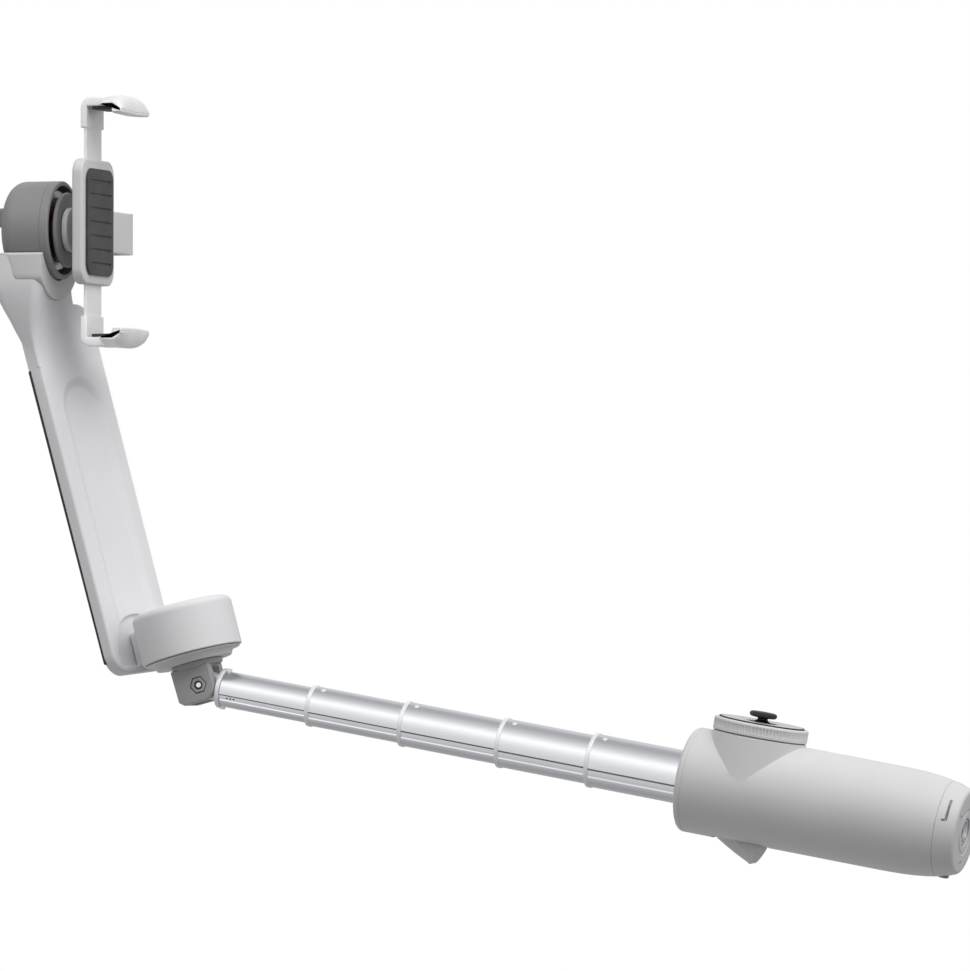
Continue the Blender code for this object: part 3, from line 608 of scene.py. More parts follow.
def trigger_lever():
    """The lever's front is crowned: it reaches furthest forward along its middle."""
    half, stations = 4.2, 16
    rings = []
    for i in range(stations + 1):
        y = -half * math.cos(math.pi * i / stations)
        side = abs(y / half)
        front = []
        for k in range(13):
            t = 1 - k / 12
            middle = Vector((-1.86 + 12.42 * t, -4.21 - 6.26 * t - 0.35 * math.sin(math.pi * t)))
            edge = Vector((2.9, -3.2)) * (1 - t) ** 2 + Vector((8.6, -3.9)) * 2 * t * (1 - t)
            edge += Vector((11.0, -9.9)) * t * t
            front.append(tuple(middle.lerp(edge, side ** 2)))
        outline = arc((0, 0), 2.0, 175, 20, 6)
        outline += [(7.0, 0.1), (12.6, -1.2), (13.8, -2.4), (14.1, -3.9), (13.6, -5.6)]
        outline += [(12.9, -7.2), (12.1, -8.7), (11.5, -9.6), (11.0, -10.2)] + front
        rings.append([(x, y, z) for x, z in outline])
    lever = start("trigger_lever", loft(rings))
    cut(lever, rod(1.1, -8, 8, 32), TO_Y)
    seat(lever, TRIGGER, "shell", "trigger_lever", ["trigger"], 24)


# ---------------------------------------------------------------- base end
def base_cap():
    """The tripod's cap: latch recess on its side, screw dimples and a sunk ring on its end face."""
    low = CAP_SEAM + 0.06
    outer = [(SEAM_RADIUS - 1.4, low), (SEAM_RADIUS - 0.1, low), (SEAM_RADIUS - 0.02, low + 0.08)]
    outer += [(14.85, -5.0), (14.45, -3.6), (13.95, -2.2)]
    outer += arc((12.1, -1.45), 1.45, 22, 90, 10)
    face = [(7.4, 0), (7.3, -0.25), (6.2, -0.25), (6.1, 0), (4.6, 0), (4.4, -0.2), (4.4, low)]
    cap = start("base_cap", turned(outer + face, 128), TO_X)
    for angle in (-60, 60, 180):
        turn = math.radians(angle)
        dimple = move(0, 9.6 * math.sin(turn), 9.6 * math.cos(turn))
        cut(cap, rod(0.75, -1.2, 1, 24), dimple @ TO_X)
    recess = slab(rounded(0.42, 3.3, 0.4, (-3.4, 6.4), 6), -18, -10.4)
    cut(cap, recess, XZ_TO_Y)
    cut(cap, slab(rounded(0.9, 0.4, 0.38, (-3.95, 3.4), 6), -18, -12.6), XZ_TO_Y)
    seat(cap, STICK, "shell", "tripod", ["tripod_cap"], 30)


def thread_socket():
    """Insert whose quarter-inch thread is drawn as level rings."""
    low, high, pitch = CAP_SEAM + 0.6, -0.4, 1.27
    turns = int((high - low - 0.8) / pitch)
    bore = [(2.95, low)]
    for i in range(turns):
        foot = low + 0.4 + i * pitch
        bore += [(2.9, foot), (3.45, foot + pitch * 0.5)]
    bore += [(2.9, low + 0.4 + turns * pitch), (3.2, high)]
    profile = [(4.1, high), (4.1, low)] + bore
    seat(start("thread_socket", turned(profile, 64), TO_X), STICK, "steel", "tripod", ["thread_insert"])


def foot_bump():
    pad = slab(rounded(1.3, 1.8, 0.7), -15.15, -13.9, 0.25, 0.0)
    seat(start("foot_bump", pad, move(-4.4, 0, 0)), STICK, "grey", "tripod", ["foot_pad"])


# ---------------------------------------------------------------- telescopic rod
FLUTE_TOP, FLUTE_LOW = 17.0, 38.0
FLUTE_DEPTH, LIP_LENGTH, INNERMOST = 0.3, 1.36, 4
STUD_TURN, STUD_BACK = 28, 4.2
MARKS, MARK_X, MARK_STEP = 3, -243.9, 1.15


def around(x, degrees):
    """A place on the rod, x along it, turned about the rod from straight up."""
    return move(x, 0, 0) @ Matrix.Rotation(math.radians(degrees), 4, "X")


def fluted(angle, radius, _height):
    """A shallow flat along both sides below the middle; angle 0 of the turned rod points down."""
    if radius < 4.4:
        return radius
    below = 90 - abs(math.degrees(math.remainder(angle, math.tau)))
    if not FLUTE_TOP < below < FLUTE_LOW:
        return radius
    if below < FLUTE_TOP + 3.0:
        return radius - FLUTE_DEPTH - 0.15
    return radius - FLUTE_DEPTH * min(1.0, (FLUTE_LOW - below) / 2.4)


def groove_shade_lines(name, radius, low, high, body):
    """A grey hairline strip laid at the bottom of the groove along each flute's upper edge: painted shade
    standing in for the groove's shadow line.
    """
    for side, word in ((-1, "near"), (1, "far")):
        # Each strip is painted shade: a grey piece where the groove only falls into shadow.
        strip = box((low, high), (radius - 0.5, radius - 0.2), (-0.13, 0.13), 0.05)
        turn = Matrix.Rotation(math.radians(-(FLUTE_TOP + 1.5)), 4, "X")
        place = Matrix.Scale(side, 4, (0, 1, 0)) @ turn
        seat(start(f"{name}_line_{word}", strip, place), STICK, "grey", body)


def tube_wall(name, radius, low, high, body, marks=()):
    bore = radius - TUBE_WALL
    wall = [(bore, low)] + [(radius, low + (high - low) * i / 4) for i in range(5)] + [(bore, high)]
    piece = start(f"{name}_wall", turned(wall, 360, fluted), TO_X)
    for place in marks:
        cut(piece, rod(0.3, radius - 0.32, radius + 2, 20), place)
    seat(piece, STICK, "aluminium", body, [name], 14)


def rod_tubes():
    """Four tubes with a bright lip and a stud each, and the plain innermost one with three marks."""
    for number, mouth in enumerate(MOUTHS):
        name, body = f"tube_{5 - number}", f"rod_{5 - number}"
        radius = TUBE_RADIUS - number * TUBE_STEP
        bore, lip = radius - TUBE_WALL, radius + 0.3
        ring = [(bore, mouth + 0.2), (bore + 0.15, mouth)] + arc((lip - 0.3, mouth + 0.3), 0.3, -90, 0, 4)
        ring += arc((lip - 0.2, mouth + 1.15), 0.2, 0, 60, 3) + [(bore, mouth + LIP_LENGTH - 0.01)]
        seat(start(f"{name}_lip", turned(ring, 160), TO_X), STICK, "satin", body, crease=40)
        stud = [(0, radius - 0.3), (0.8, radius - 0.3), (0.8, radius - 0.02), (0.55, radius + 0.1)]
        stud.append((0, radius + 0.14))
        at = around(mouth + STUD_BACK, STUD_TURN)
        seat(start(f"{name}_stud", turned(stud, 24), at), STICK, "satin", body)
        tube_wall(name, radius, mouth + LIP_LENGTH, mouth + TUBE_LENGTH, body)
        groove_shade_lines(name, radius, mouth + 1.45, mouth + TUBE_LENGTH - 1, body)
    radius = TUBE_RADIUS - INNERMOST * TUBE_STEP
    low, high = COLLAR_END + 0.3, MOUTHS[-1] + 10
    marks = [around(MARK_X + MARK_STEP * i, 90 + STUD_TURN) for i in range(MARKS)]
    tube_wall("tube_1", radius, low, high, "rod_1", marks)
    groove_shade_lines("tube_1", radius, low + 0.1, high - 1, "rod_1")
    for number, place in enumerate(marks):
        dot = [(0, radius - 0.34), (0.29, radius - 0.34), (0.29, radius - 0.27), (0, radius - 0.24)]
        seat(start(f"stop_mark_{number + 1}", turned(dot, 20), place), STICK, "black", "rod_1")


def rod_head():
    """The collar with a tab above and below, and the tongue that the fold pin passes through."""
    plug = TUBE_RADIUS - INNERMOST * TUBE_STEP - TUBE_WALL - 0.3
    root, tab_x = 3.6, COLLAR_END + 0.35
    profile = [(0, COLLAR_FACE), (4.6, COLLAR_FACE)] + arc((5.9, COLLAR_FACE + 0.4), 0.4, -90, 0, 5)
    profile += arc((5.9, COLLAR_END - 0.3), 0.4, 0, 90, 5)
    profile += [(plug, COLLAR_END), (plug, COLLAR_END + 6), (0, COLLAR_END + 6)]
    head = start("rod_head", turned(profile, 120), TO_X)
    tongue = arc((FOLD_X, 0), 4.8, 90, 270, 36) + [(COLLAR_FACE + 1, -root), (COLLAR_FACE + 1, root)]
    join(head, slab(tongue, -2.9, 2.9, 0.25, 0.25), XZ_TO_Y)
    join(head, slab(rounded(0.75, 1.6, 0.5, (tab_x, 0), 5), 5.6, 6.55, 0.0, 0.2))
    join(head, slab(rounded(0.75, 1.2, 0.5, (tab_x, 0), 5), -6.5, -5.6, 0.2, 0.0))
    cut(head, rod(PIN_HOLE, -9, 9, 40), move(FOLD_X, 0, 0) @ TO_Y)
    seat(head, STICK, "satin", "rod_1", ["rod_end"])


# ---------------------------------------------------------------- fold hinge and pan motor
def hinge_block():
    outline = [(-8.1, 6.2), (-7.75, -3.9), (-6.3, -5.15)] + arc((0, 0), 5.15, -92, -14, 18) + [(4.7, 6.2)]
    block = start("hinge_block", slab(outline, -6.9, 6.9, 0.35, 0.35), XZ_TO_Y)
    neck = [(0, 5.8), (7.6, 5.8)] + arc((7.8, 6.5), 0.5, -60, 30, 4) + [(8.3, 7.4), (0, 7.4)]
    join(block, turned(neck, 96), move(-1.0, 0, 0))
    cut(block, box((-5.6, 9), (-3.2, 3.2), (-9, 5.2), 0.4))
    cut(block, rod(PIN_HOLE, -9, 9, 40), TO_Y)
    cut(block, rod(2.95, -9, -4.9, 6), TO_Y)
    cut(block, rod(2.9, 5.0, 9, 40), TO_Y)
    seat(block, FOLD, "cast grey", "yoke", ["hinge_yoke"], 24)
    # A black hexagon on the pocket's floor that shows round the nut: painted shade for the gap between nut
    # and pocket.
    floor = turned([(1.55, -4.95), (2.7, -4.95), (2.7, -5.25), (1.55, -5.25)], 6)
    seat(start("pocket_shade", floor, TO_Y), FOLD, "black", "yoke")


def hinge_fastener():
    """The pin with a slotted head, and its hexagon nut in the pocket."""
    pin = [(0, -6.6), (0.6, -6.62)] + arc((0.65, -6.4), 0.25, -90, 0, 4)
    pin += [(0.9, -5.2), (1.5, -5.2), (1.5, 5.3), (2.5, 5.3)]
    pin += arc((2.2, 6.3), 0.3, 0, 90, 4) + [(0, 6.6)]
    body = start("fold_pin", turned(pin, 48), TO_Y)
    cut(body, box((-3, 3), (6.0, 7), (-0.35, 0.35)))
    seat(body, FOLD, "chrome", "yoke", ["hinge_pin"])
    nut = start("fold_nut", slab(arc((0, 0), 2.6, 0, 300, 5), -6.85, -5.3, 0.15, 0.0), TO_Y)
    cut(nut, rod(1.45, -8, -4, 40), TO_Y)
    seat(nut, FOLD, "cast grey", "yoke", ["hinge_nut"], 20)
    # A black ring in the nut's bore round the pin's thin end: painted shade for that gap.
    bore_shade = turned(tube(-6.6, -5.35, 0.95, 1.42, 0.05), 40)
    seat(start("nut_washer", bore_shade, TO_Y), FOLD, "black", "yoke")


def pan_motor_base():
    profile = [(2.2, 7.6), (11.9, 7.6)] + arc((11.9, 8.0), 0.4, -90, -20, 4)
    profile += [(13.1, 9.5), (14.3, 9.65), (15.3, 9.75), (15.4, 10.0), (15.2, 10.1), (5, 10.1)]
    profile += [(5, 21), (2.2, 21)]
    # The base takes the shell's light plastic in place of the panel grey, to offset the shade under the drum:
    # painted light.
    seat(start("pan_motor_base", turned(profile)), PAN, "shell", "yoke", ["pan_base"])


# ---------------------------------------------------------------- arm
RECESS_HALF, RECESS_TOP, RECESS_DEPTH = 10.8, 107.2, 1.25
SCOOP_RADIUS, SCOOP_Z, SCOOP_DEPTH = 14.1, 15.2, 2.2
FLARE_LOW, FLARE_TOP, FLARE_FRONT, FLARE_BACK, FLARE_HALF = -44.0, -8.4, -50.3, -59.75, 15.45
SADDLE_FRONT, SADDLE_HALF, SADDLE_REACH = -49.9, 15.6, 62
EDGE_GROWTH, COVER_MIDDLE = 1.1, (0, 62.65)


def smooth(share):
    return share * share * (3 - 2 * share)


def growth(height):
    """How far the arm's near back edge stands out at a height, for the plate and its trim."""
    return EDGE_GROWTH * max(0.0, min(1.0, (height - 20) / 70))


def sunk(outlines, depths):
    """A cutter that goes into the arm's inner face through a list of outlines at those depths."""
    rings = [[(ARM_IN + 0.4, y, z) for y, z in outlines[0]]]
    rings += [[(ARM_IN - depth, y, z) for y, z in outline] for outline, depth in zip(outlines, depths)]
    return loft(rings)


def arm_channel():
    steps = 8
    shares = [i / steps for i in range(steps + 1)]
    outlines = [capsule(RECESS_HALF - 3.4 * s, 18, RECESS_TOP - 3.4 * s, 0.7, 32) for s in shares]
    return sunk(outlines, [0.012 + RECESS_DEPTH * smooth(s) for s in shares])


def arm_scoop():
    steps = 6
    shares = [i / steps for i in range(steps + 1)]
    outlines = []
    for s in shares:
        inner = SCOOP_RADIUS - 1.5 * s ** 1.5
        low, middle, corner = 11.8 + 0.9 * s, 0.6, 2.2
        arch = arc((middle, SCOOP_Z), inner, -2, 182, 32)
        arch += arc((middle - inner + corner, low + corner), corner, 190, 270, 5)
        arch += arc((middle + inner - corner, low + corner), corner, -90, -10, 5)
        outlines.append(arch)
    return sunk(outlines, [0.02 + SCOOP_DEPTH * math.sin(math.pi / 2 * s) for s in shares])


def flare():
    """The arm's top swells outwards behind the roll motor, growing smoothly out of the plate."""
    to_roll = local(ARM, ROLL)
    back = ((FLARE_LOW, 0.0), (-36.0, 1.0), (-29.0, 2.9), (-24.0, 5.2), (-18.0, 7.6), (-12.0, 8.8),
            (FLARE_TOP, 8.9))
    probe = Vector(((ARM_IN + ARM_OUT) / 2, 0, 90))
    steps, rings = 20, []
    for i in range(steps + 1):
        level = FLARE_LOW + (FLARE_TOP - FLARE_LOW) * i / steps
        up = (level - (to_roll @ probe).z) / (to_roll.to_3x3() @ Vector((0, 0, 1))).z
        plate_in = to_roll @ Vector((ARM_IN - 0.15, 0, probe.z + up))
        plate_out = to_roll @ Vector((ARM_OUT + 0.15, 0, probe.z + up))
        share = smooth(max(0.0, min(1.0, (level + 42) / 26)))
        extra = next(e0 + (e1 - e0) * (level - l0) / (l1 - l0)
                     for (l0, e0), (l1, e1) in zip(back, back[1:]) if level <= l1 + 1e-6)
        front_x = plate_in.x * (1 - share) + FLARE_FRONT * share
        back_x = plate_out.x * (1 - share) + FLARE_BACK * share - extra
        middle = Vector(((front_x + back_x) / 2, plate_in.y * (1 - share)))
        half_x = (front_x - back_x) / 2
        half_y = (ARM_HALF - 0.2) * (1 - share) + FLARE_HALF * share
        turn = Matrix.Rotation(math.radians(ARM_TURN * (1 - share)), 2)
        corner = 0.9 + 2.4 * share
        ring = [turn @ Vector(p) + middle for p in rounded(half_x, half_y, min(corner, half_x * 0.9))]
        rings.append([(p.x, p.y, level) for p in ring])
    return loft(rings)


def arm_body():
    outline = rounded(ARM_HALF, (ARM_TOP - ARM_BOTTOM) / 2, 7.0, (0, (ARM_TOP + ARM_BOTTOM) / 2), 14)
    plate = slab(outline, ARM_OUT, ARM_IN, 0.5, 0.8, 5)
    for vert in plate.verts:
        if vert.co.x < 0:
            vert.co.x -= growth(vert.co.y) * (ARM_IN - vert.co.z) / (ARM_IN - ARM_OUT)
    body = start("arm_body", plate, YZ_TO_X)
    to_roll = local(ROLL, ARM)
    join(body, flare(), to_roll)
    cut(body, arm_channel())
    cut(body, arm_scoop())
    join(body, box((-20.2, -9), (-3.6, 7.5), (11.2, 23.0), 1.2))
    join(body, box((-19.0, -11.5), (8.5, 14.0), (20.0, 27.5), 1.6))
    fillet, chamfer = 2.4, 0.25
    drum = [(0, DRUM_BOTTOM), (DRUM_RADIUS - chamfer, DRUM_BOTTOM), (DRUM_RADIUS, DRUM_BOTTOM + chamfer)]
    drum += [(DRUM_RADIUS, DRUM_BOTTOM + chamfer + 2.4 * i) for i in range(1, 5)]
    drum += arc((DRUM_RADIUS - fillet, DRUM_TOP - fillet), fillet, 0, 90, 12) + [(8, DRUM_TOP), (0, DRUM_TOP)]
    join(body, turned(drum, 144))
    cut(body, rod(DRUM_RADIUS - SHELL_WALL, 5, DRUM_TOP - 1.8, 120))
    cut(body, slab(rounded(14.4, 41, 5, (0, 72)), ARM_OUT - 5, ARM_OUT + 2.4), YZ_TO_X)
    cut(body, slab(rounded(14.4, 49, 5, (0, 64)), ARM_OUT - 5, ARM_OUT + 0.9), YZ_TO_X)
    rim = slab(rounded(ARM_HALF + 4, 48.6, 0.6, COVER_MIDDLE), ARM_OUT - 5, ARM_OUT + 0.82)
    cut(body, rim, YZ_TO_X)
    cut(body, saddle(0.14), to_roll)
    cut(body, rod(ROLL_RADIUS + 0.3, ROLL_REAR - 0.35, -40, 120), to_roll @ TO_X)
    seat(body, ARM, "arm", "arm", ["arm_shell"], 26)


def saddle(gap):
    """The saddle under the roll motor, its outer edge further back at both horns; a gap makes its cutter."""
    inner, front = ROLL_RADIUS + 0.45 - gap, SADDLE_FRONT + gap
    stations, steps, rings = 60, 8, []
    for i in range(stations + 1):
        share = 2 * i / stations - 1
        angle = math.radians(-90 + (SADDLE_REACH + 3 * gap) * share)
        rim = min(CRADLE_RADIUS - 0.25, SADDLE_HALF / max(0.01, abs(math.cos(angle)))) + gap
        edge = -56.4 - 4.2 * share ** 2
        section = [(inner, front)]
        for k in range(steps + 1):
            out = k / steps
            section.append((inner + (rim - inner) * out, ROLL_REAR + (edge - ROLL_REAR) * out ** 1.6 - gap))
        section.append((rim, front))
        rings.append([(x, r * math.cos(angle), r * math.sin(angle)) for r, x in section])
    return loft(rings)


def roll_collar():
    seat(start("roll_collar", saddle(0.0)), ROLL, "shell", "arm", crease=30)


def arm_back():
    """Black cover let into the back of the arm, proud by a hair, in a trim that reaches both long edges."""
    outline = rounded(14.1, 46.6, 4.7, COVER_MIDDLE, 10)
    cover = slab(outline, ARM_OUT - 0.25, ARM_OUT + 0.8, 0.3, 0.0)
    seat(start("arm_cover", cover, YZ_TO_X), ARM, "black", "arm", ["arm_back_cover"])
    edge = rounded(ARM_HALF + 0.02, 48.55, 0.6, COVER_MIDDLE, 4)
    hole = rounded(14.4, 46.9, 5.0, COVER_MIDDLE, 10)
    trim = start("arm_trim", slab(edge, ARM_OUT - 0.1, ARM_OUT + 0.78, 0.25, 0.0), YZ_TO_X)
    for vert in trim.data.vertices:
        if vert.co.y < 0:
            vert.co.y -= growth(vert.co.z)
    cut(trim, slab(hole, ARM_OUT - 2, ARM_OUT + 2), YZ_TO_X)
    seat(trim, ARM, "black", "arm")


# ---------------------------------------------------------------- roll and tilt motors
def roll_can():
    """Domed motor can with a hairline seam behind its front edge."""
    thick = 1.4
    wall, back = ROLL_RADIUS - thick, ROLL_REAR + thick
    corner = (ROLL_RADIUS - ROLL_FILLET, ROLL_REAR + ROLL_FILLET)
    can = [(0, ROLL_REAR), (5, ROLL_REAR)] + arc(corner, ROLL_FILLET, -90, 0, 16)
    can += [(ROLL_RADIUS, -52), (ROLL_RADIUS, -50.9), (ROLL_RADIUS - 0.15, -50.8), (ROLL_RADIUS, -50.7)]
    can += [(ROLL_RADIUS, ROLL_FRONT - 0.3), (ROLL_RADIUS - 0.3, ROLL_FRONT), (wall, ROLL_FRONT)]
    can += arc(corner, ROLL_FILLET - thick, 0, -90, 8) + [(0, back)]
    seat(start("roll_can", turned(can, 144), TO_X), ROLL, "grey", "arm", ["roll_housing"], 24)
    plug = slab(rounded(2.6, 3.1, 1.2), ROLL_REAR - 2.6, ROLL_REAR - 0.02, 0.5, 0.0)
    seat(start("rear_plug", plug, move(0, -5.0, 3.9) @ YZ_TO_X), ROLL, "grey", "arm", ["roll_rear_plug"])


def roll_front():
    disc = [(0, -59.5), (2.6, -59.5), (2.6, -47.6), (11.7, -47.6), (12, -47.3), (12, -46.6), (11.7, -46.3)]
    disc.append((0, -46.3))
    seat(start("roll_disc", turned(disc), TO_X), ROLL, "grey", "roll_arm", ["roll_rotor"])
    plate = slab(rounded(14.1, 7, 6.2, (6.1, 0), 14), -45.95, -44.1, 0.3, 0.6)
    seat(start("roll_link", plate, YZ_TO_X), ROLL, "shell", "roll_arm", ["roll_bracket"])


def tilt_motor():
    wall, radius = 9.7, 11.0
    cup = [(0, 20.6)] + arc((radius - 1.6, 22.2), 1.6, -90, 0, 10)
    cup += [(radius, 28.9), (radius - 0.15, 29.0), (radius, 29.1), (radius, 31.2), (radius - 0.3, 31.5)]
    cup += [(wall, 31.5), (wall, 22), (0, 22)]
    seat(start("tilt_can", turned(cup), TO_Y), TILT, "shell", "roll_arm", ["tilt_housing"], 24)
    tilt_x = local(TILT, ROLL).translation.x
    depth, reach = PLATE_BACK - tilt_x, PLATE_FRONT - tilt_x - 1.1
    side = arc((0, 0), 9.5, 45, 315, 48) + [(reach, -6.7), (reach, 6.7)]
    link = start("tilt_arm", slab(side, 33.6, 36.2, 0.2, 0.9), XZ_TO_Y)
    join(link, box((depth, reach), (15.4, 35), (-6.7, 6.7), 0.5))
    seat(link, TILT, "shell", "clamp", ["tilt_link"], 24)


# ---------------------------------------------------------------- clamp
def clamp_back():
    plate = start("clamp_body", slab(rounded(15, 20, 5), PLATE_BACK, PLATE_FRONT, 0.8, 0.7), YZ_TO_X)
    cut(plate, box((-39.0, -37.4), (-7.6, 7.6), (-25, 25)))
    for side in (-1, 1):
        cut(plate, rod(0.95, -25, 25, 24), move(-38.2, side * 10.6, 0))
    seat(plate, CLAMP, "shell", "clamp", ["clamp_plate"], 24)
    pad = start("phone_pad", slab(rounded(12, 17, 4), PLATE_FRONT + 0.3, PHONE_BACK, 0.0, 0.25), YZ_TO_X)
    for i in range(-3, 4):
        height = 4.4 * i
        cut(pad, box((PHONE_BACK - 0.25, PHONE_BACK + 1), (-9.5, 9.5), (height - 0.35, height + 0.35), 0.12))
    seat(pad, CLAMP, "rubber", "clamp", ["rest_pad"])


def jaw_lip(flip):
    """The lip's section at stations along its width: full in the middle, a thin leaf at each end."""
    top, lip_x, front = PHONE_HALF + 4.55, PHONE_FRONT + 0.5, PHONE_FRONT + 4.3
    inner = PHONE_HALF + 1.1
    rings, stations = [], 24
    for i in range(stations + 1):
        y = JAW_HALF * math.sin(math.pi / 2 * (2 * i / stations - 1))
        end = abs(y / JAW_HALF)
        crown = top - 2.0 * end ** 3
        back = end ** 2 - 32.4
        rim = PHONE_HALF - 1.9 + 0.3 * end
        outline = [(back, inner), (back + 0.3, crown - 1.0), (back + 1.2, crown - 0.35)]
        outline += arc((front - 3.6, crown - 3.3), 3.3, 88, 40, 6)
        outline += [(front - 0.35, crown - 2.6), (front - 0.05, rim + 1.9), (front, rim + 1.25),
                    (front - 0.22, rim + 1.05), (front - 0.03, rim + 0.85), (front - 0.1, rim + 0.35),
                    (front - 0.5, rim), (lip_x + 0.6, rim),
                    (lip_x + 0.1, rim + 0.4), (lip_x, rim + 1.0), (lip_x, inner)]
        shrink = 0.5 * max(0.0, (end - 0.9) / 0.1) ** 2
        rings.append([flip @ Vector((x, y, z)) for x, z in inset(outline, shrink)])
    return loft(rings)


def jaw(name, sign):
    flip = Matrix.Scale(sign, 4, (0, 0, 1))
    under, top = PHONE_HALF + 1.1, PHONE_HALF + 4.0
    hook = [(-39.5, 30), (-37.3, 30), (-37.3, under), (-31.0, under), (-31.0, top)]
    hook += arc((-36.1, top - 3.4), 3.4, 90, 180, 10)
    body = start(f"jaw_{name}_hook", slab(hook, -NECK_HALF, NECK_HALF, 0.45, 0.45), flip @ XZ_TO_Y)
    join(body, jaw_lip(flip))
    join(body, box((-38.7, -37.75), (-7, 7), (4.2, 33), 0.2), flip)
    seat(body, CLAMP, "satin", f"{name}_jaw", [f"jaw_{name}"], 30)
    cushion = box((PHONE_BACK - 0.5, PHONE_FRONT), (-7.2, 7.2), (PHONE_HALF, PHONE_HALF + 1.05), 0.3)
    pad = start(f"jaw_{name}_pad", cushion, flip)
    seat(pad, CLAMP, "rubber", f"{name}_jaw", [f"jaw_pad_{name}"])


# ---------------------------------------------------------------- carried-over nodes
def dress_cad_nodes():
    """Sealed inner parts keep their CAD shape and get the detailed finish of their slot."""
    slots = {part["node"]: part["material_slot"] for part in frame["record"]["subparts"]}
    for name, obj in frame["nodes"].items():
        obj.data.materials.clear()
        obj.data.materials.append(FINISHES[slots[name]])


# ---------------------------------------------------------------- stage
def camera():
    azimuth, elevation = math.radians(17.67), math.radians(-1.11)
    distance, left, rise = 2.815, 0.14867, 0.10731
    back = Vector((math.sin(azimuth) * math.cos(elevation), -math.cos(azimuth) * math.cos(elevation),
                   math.sin(elevation)))
    right = Vector((math.cos(azimuth), math.sin(azimuth), 0))
    up = back.cross(right)
    at = back * distance - right * left + up * rise
    data = bpy.data.cameras.new("camera")
    data.sensor_fit = "HORIZONTAL"
    data.sensor_width = 36
    data.lens = 337.7
    data.clip_start, data.clip_end = 0.05, 20
    eye = bpy.data.objects.new("camera", data)
    bpy.context.scene.collection.objects.link(eye)
    eye.matrix_world = Matrix(((right.x, up.x, back.x, at.x), (right.y, up.y, back.y, at.y),
                               (right.z, up.z, back.z, at.z), (0, 0, 0, 1)))
    bpy.context.scene.camera = eye


def softbox(name, target, azimuth, elevation, distance, size, watts):
    a, e = math.radians(azimuth), math.radians(elevation)
    out = Vector((math.sin(a) * math.cos(e), -math.cos(a) * math.cos(e), math.sin(e)))
    data = bpy.data.lights.new(name, "AREA")
    data.shape = "RECTANGLE"
    data.size, data.size_y = size
    data.energy = watts
    lamp = bpy.data.objects.new(name, data)
    bpy.context.scene.collection.objects.link(lamp)
    lamp.visible_glossy = False
    lamp.location = Vector(target) + out * distance
    lamp.rotation_mode = "QUATERNION"
    lamp.rotation_quaternion = out.to_track_quat("Z", "Y")


LIT_AXIS = (0.5, -0.2, 0.84)
SOFT_STOPS = ((0.0, 0.85), (0.2, 0.38), (0.38, 0.04), (0.5, 0.1), (0.65, 0.42), (1.0, 0.5))
GLOSS_STOPS = ((0.0, 0.45), (0.2, 0.7), (0.45, 0.8), (0.6, 0.95), (0.7, 1.15), (0.8, 1.35), (0.9, 0.95),
               (1.0, 0.55))


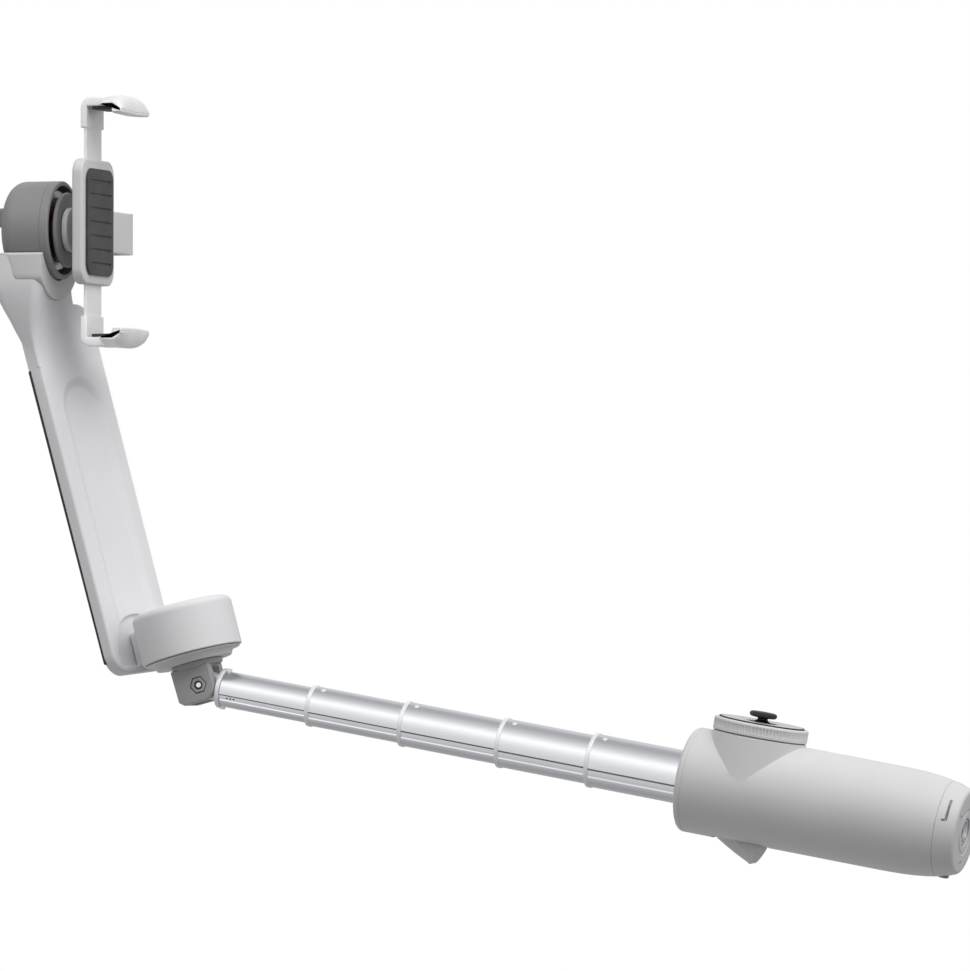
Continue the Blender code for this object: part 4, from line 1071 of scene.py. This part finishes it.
def world():
    """White to the camera; soft light grows towards one side, reflections see bands by height."""
    w = bpy.data.worlds.new("studio")
    bpy.context.scene.world = w
    w.use_nodes = True
    tree = w.node_tree
    tree.nodes.clear()
    link = tree.links.new
    coords = tree.nodes.new("ShaderNodeTexCoord").outputs["Generated"]
    path = tree.nodes.new("ShaderNodeLightPath")

    def sky(axis, stops, behind=1.0):
        dot = tree.nodes.new("ShaderNodeVectorMath")
        dot.operation = "DOT_PRODUCT"
        dot.inputs[1].default_value = axis
        spread = tree.nodes.new("ShaderNodeMapRange")
        spread.inputs["From Min"].default_value = -1
        ramp = tree.nodes.new("ShaderNodeValToRGB")
        for place, _value in stops[2:]:
            ramp.color_ramp.elements.new(place)
        for element, (place, value) in zip(ramp.color_ramp.elements, stops):
            element.position = place
            element.color = (value, value, value * 1.012, 1)
        light = tree.nodes.new("ShaderNodeBackground")
        link(coords, dot.inputs[0])
        link(dot.outputs["Value"], spread.inputs["Value"])
        link(spread.outputs["Result"], ramp.inputs["Fac"])
        link(ramp.outputs["Color"], light.inputs["Color"])
        depth = tree.nodes.new("ShaderNodeVectorMath")
        depth.operation = "DOT_PRODUCT"
        depth.inputs[1].default_value = (0, 1, 0)
        fade = tree.nodes.new("ShaderNodeMapRange")
        fade.inputs["From Min"].default_value = -0.15
        fade.inputs["From Max"].default_value = 0.35
        fade.inputs["To Min"].default_value = 1
        fade.inputs["To Max"].default_value = behind
        link(coords, depth.inputs[0])
        link(depth.outputs["Value"], fade.inputs["Value"])
        link(fade.outputs["Result"], light.inputs["Strength"])
        return light.outputs["Background"]

    def choose(ray, plain, special):
        mix = tree.nodes.new("ShaderNodeMixShader")
        link(path.outputs[ray], mix.inputs[0])
        link(plain, mix.inputs[1])
        link(special, mix.inputs[2])
        return mix.outputs["Shader"]

    backdrop = tree.nodes.new("ShaderNodeBackground")
    backdrop.inputs["Color"].default_value = (1, 1, 1, 1)
    lit = choose("Is Glossy Ray", sky(LIT_AXIS, SOFT_STOPS), sky((0, 0, 1), GLOSS_STOPS, 0.6))
    out = tree.nodes.new("ShaderNodeOutputWorld")
    link(choose("Is Camera Ray", lit, backdrop.outputs["Background"]), out.inputs["Surface"])


def floor():
    """A plain pale floor well below the object; it takes no part in lighting it from underneath."""
    size = 1.9
    bm = bmesh.new()
    bmesh.ops.create_grid(bm, x_segments=1, y_segments=1, size=size)
    ground = start("floor", bm, Matrix.Translation((-0.15, 0, cad_box[0].z - 0.16)))
    pale = Finish("floor", (0.86, 0.86, 0.86), 0.9)
    pale.mottle(pale.noise(3, 3), 0.01)
    pale.put("Emission Color", (1, 1, 1, 1)).put("Emission Strength", 0.42)
    ground.data.materials.append(pale.mat)
    ground.visible_diffuse = False
    ground.visible_glossy = False


def lights():
    middle = (-0.15, 0, 0.08)
    softbox("key", middle, 46, 58, 0.9, (0.9, 0.7), 5.3)
    softbox("right", middle, 80, 25, 1.0, (0.6, 0.6), 1.0)
    softbox("fill", middle, -35, 46, 0.9, (0.8, 0.6), 1.3)
    softbox("rim", middle, 160, -50, 0.9, (0.8, 0.4), 0.9)


# ---------------------------------------------------------------- assembly
dress_cad_nodes()
for make in (handle_body, handle_front, power_key, usb_port, control_ring, panel_disc, thumb_stick,
             trigger_lever, base_cap, thread_socket, foot_bump, rod_tubes, rod_head, hinge_block,
             hinge_fastener, pan_motor_base, arm_body, roll_collar, arm_back, roll_can, roll_front,
             tilt_motor, clamp_back):
    make()
for jaw_name, jaw_sign in (("upper", 1), ("lower", -1)):
    jaw(jaw_name, jaw_sign)
camera()
world()
floor()
lights()
bpy.context.scene.view_settings.view_transform = "Standard"
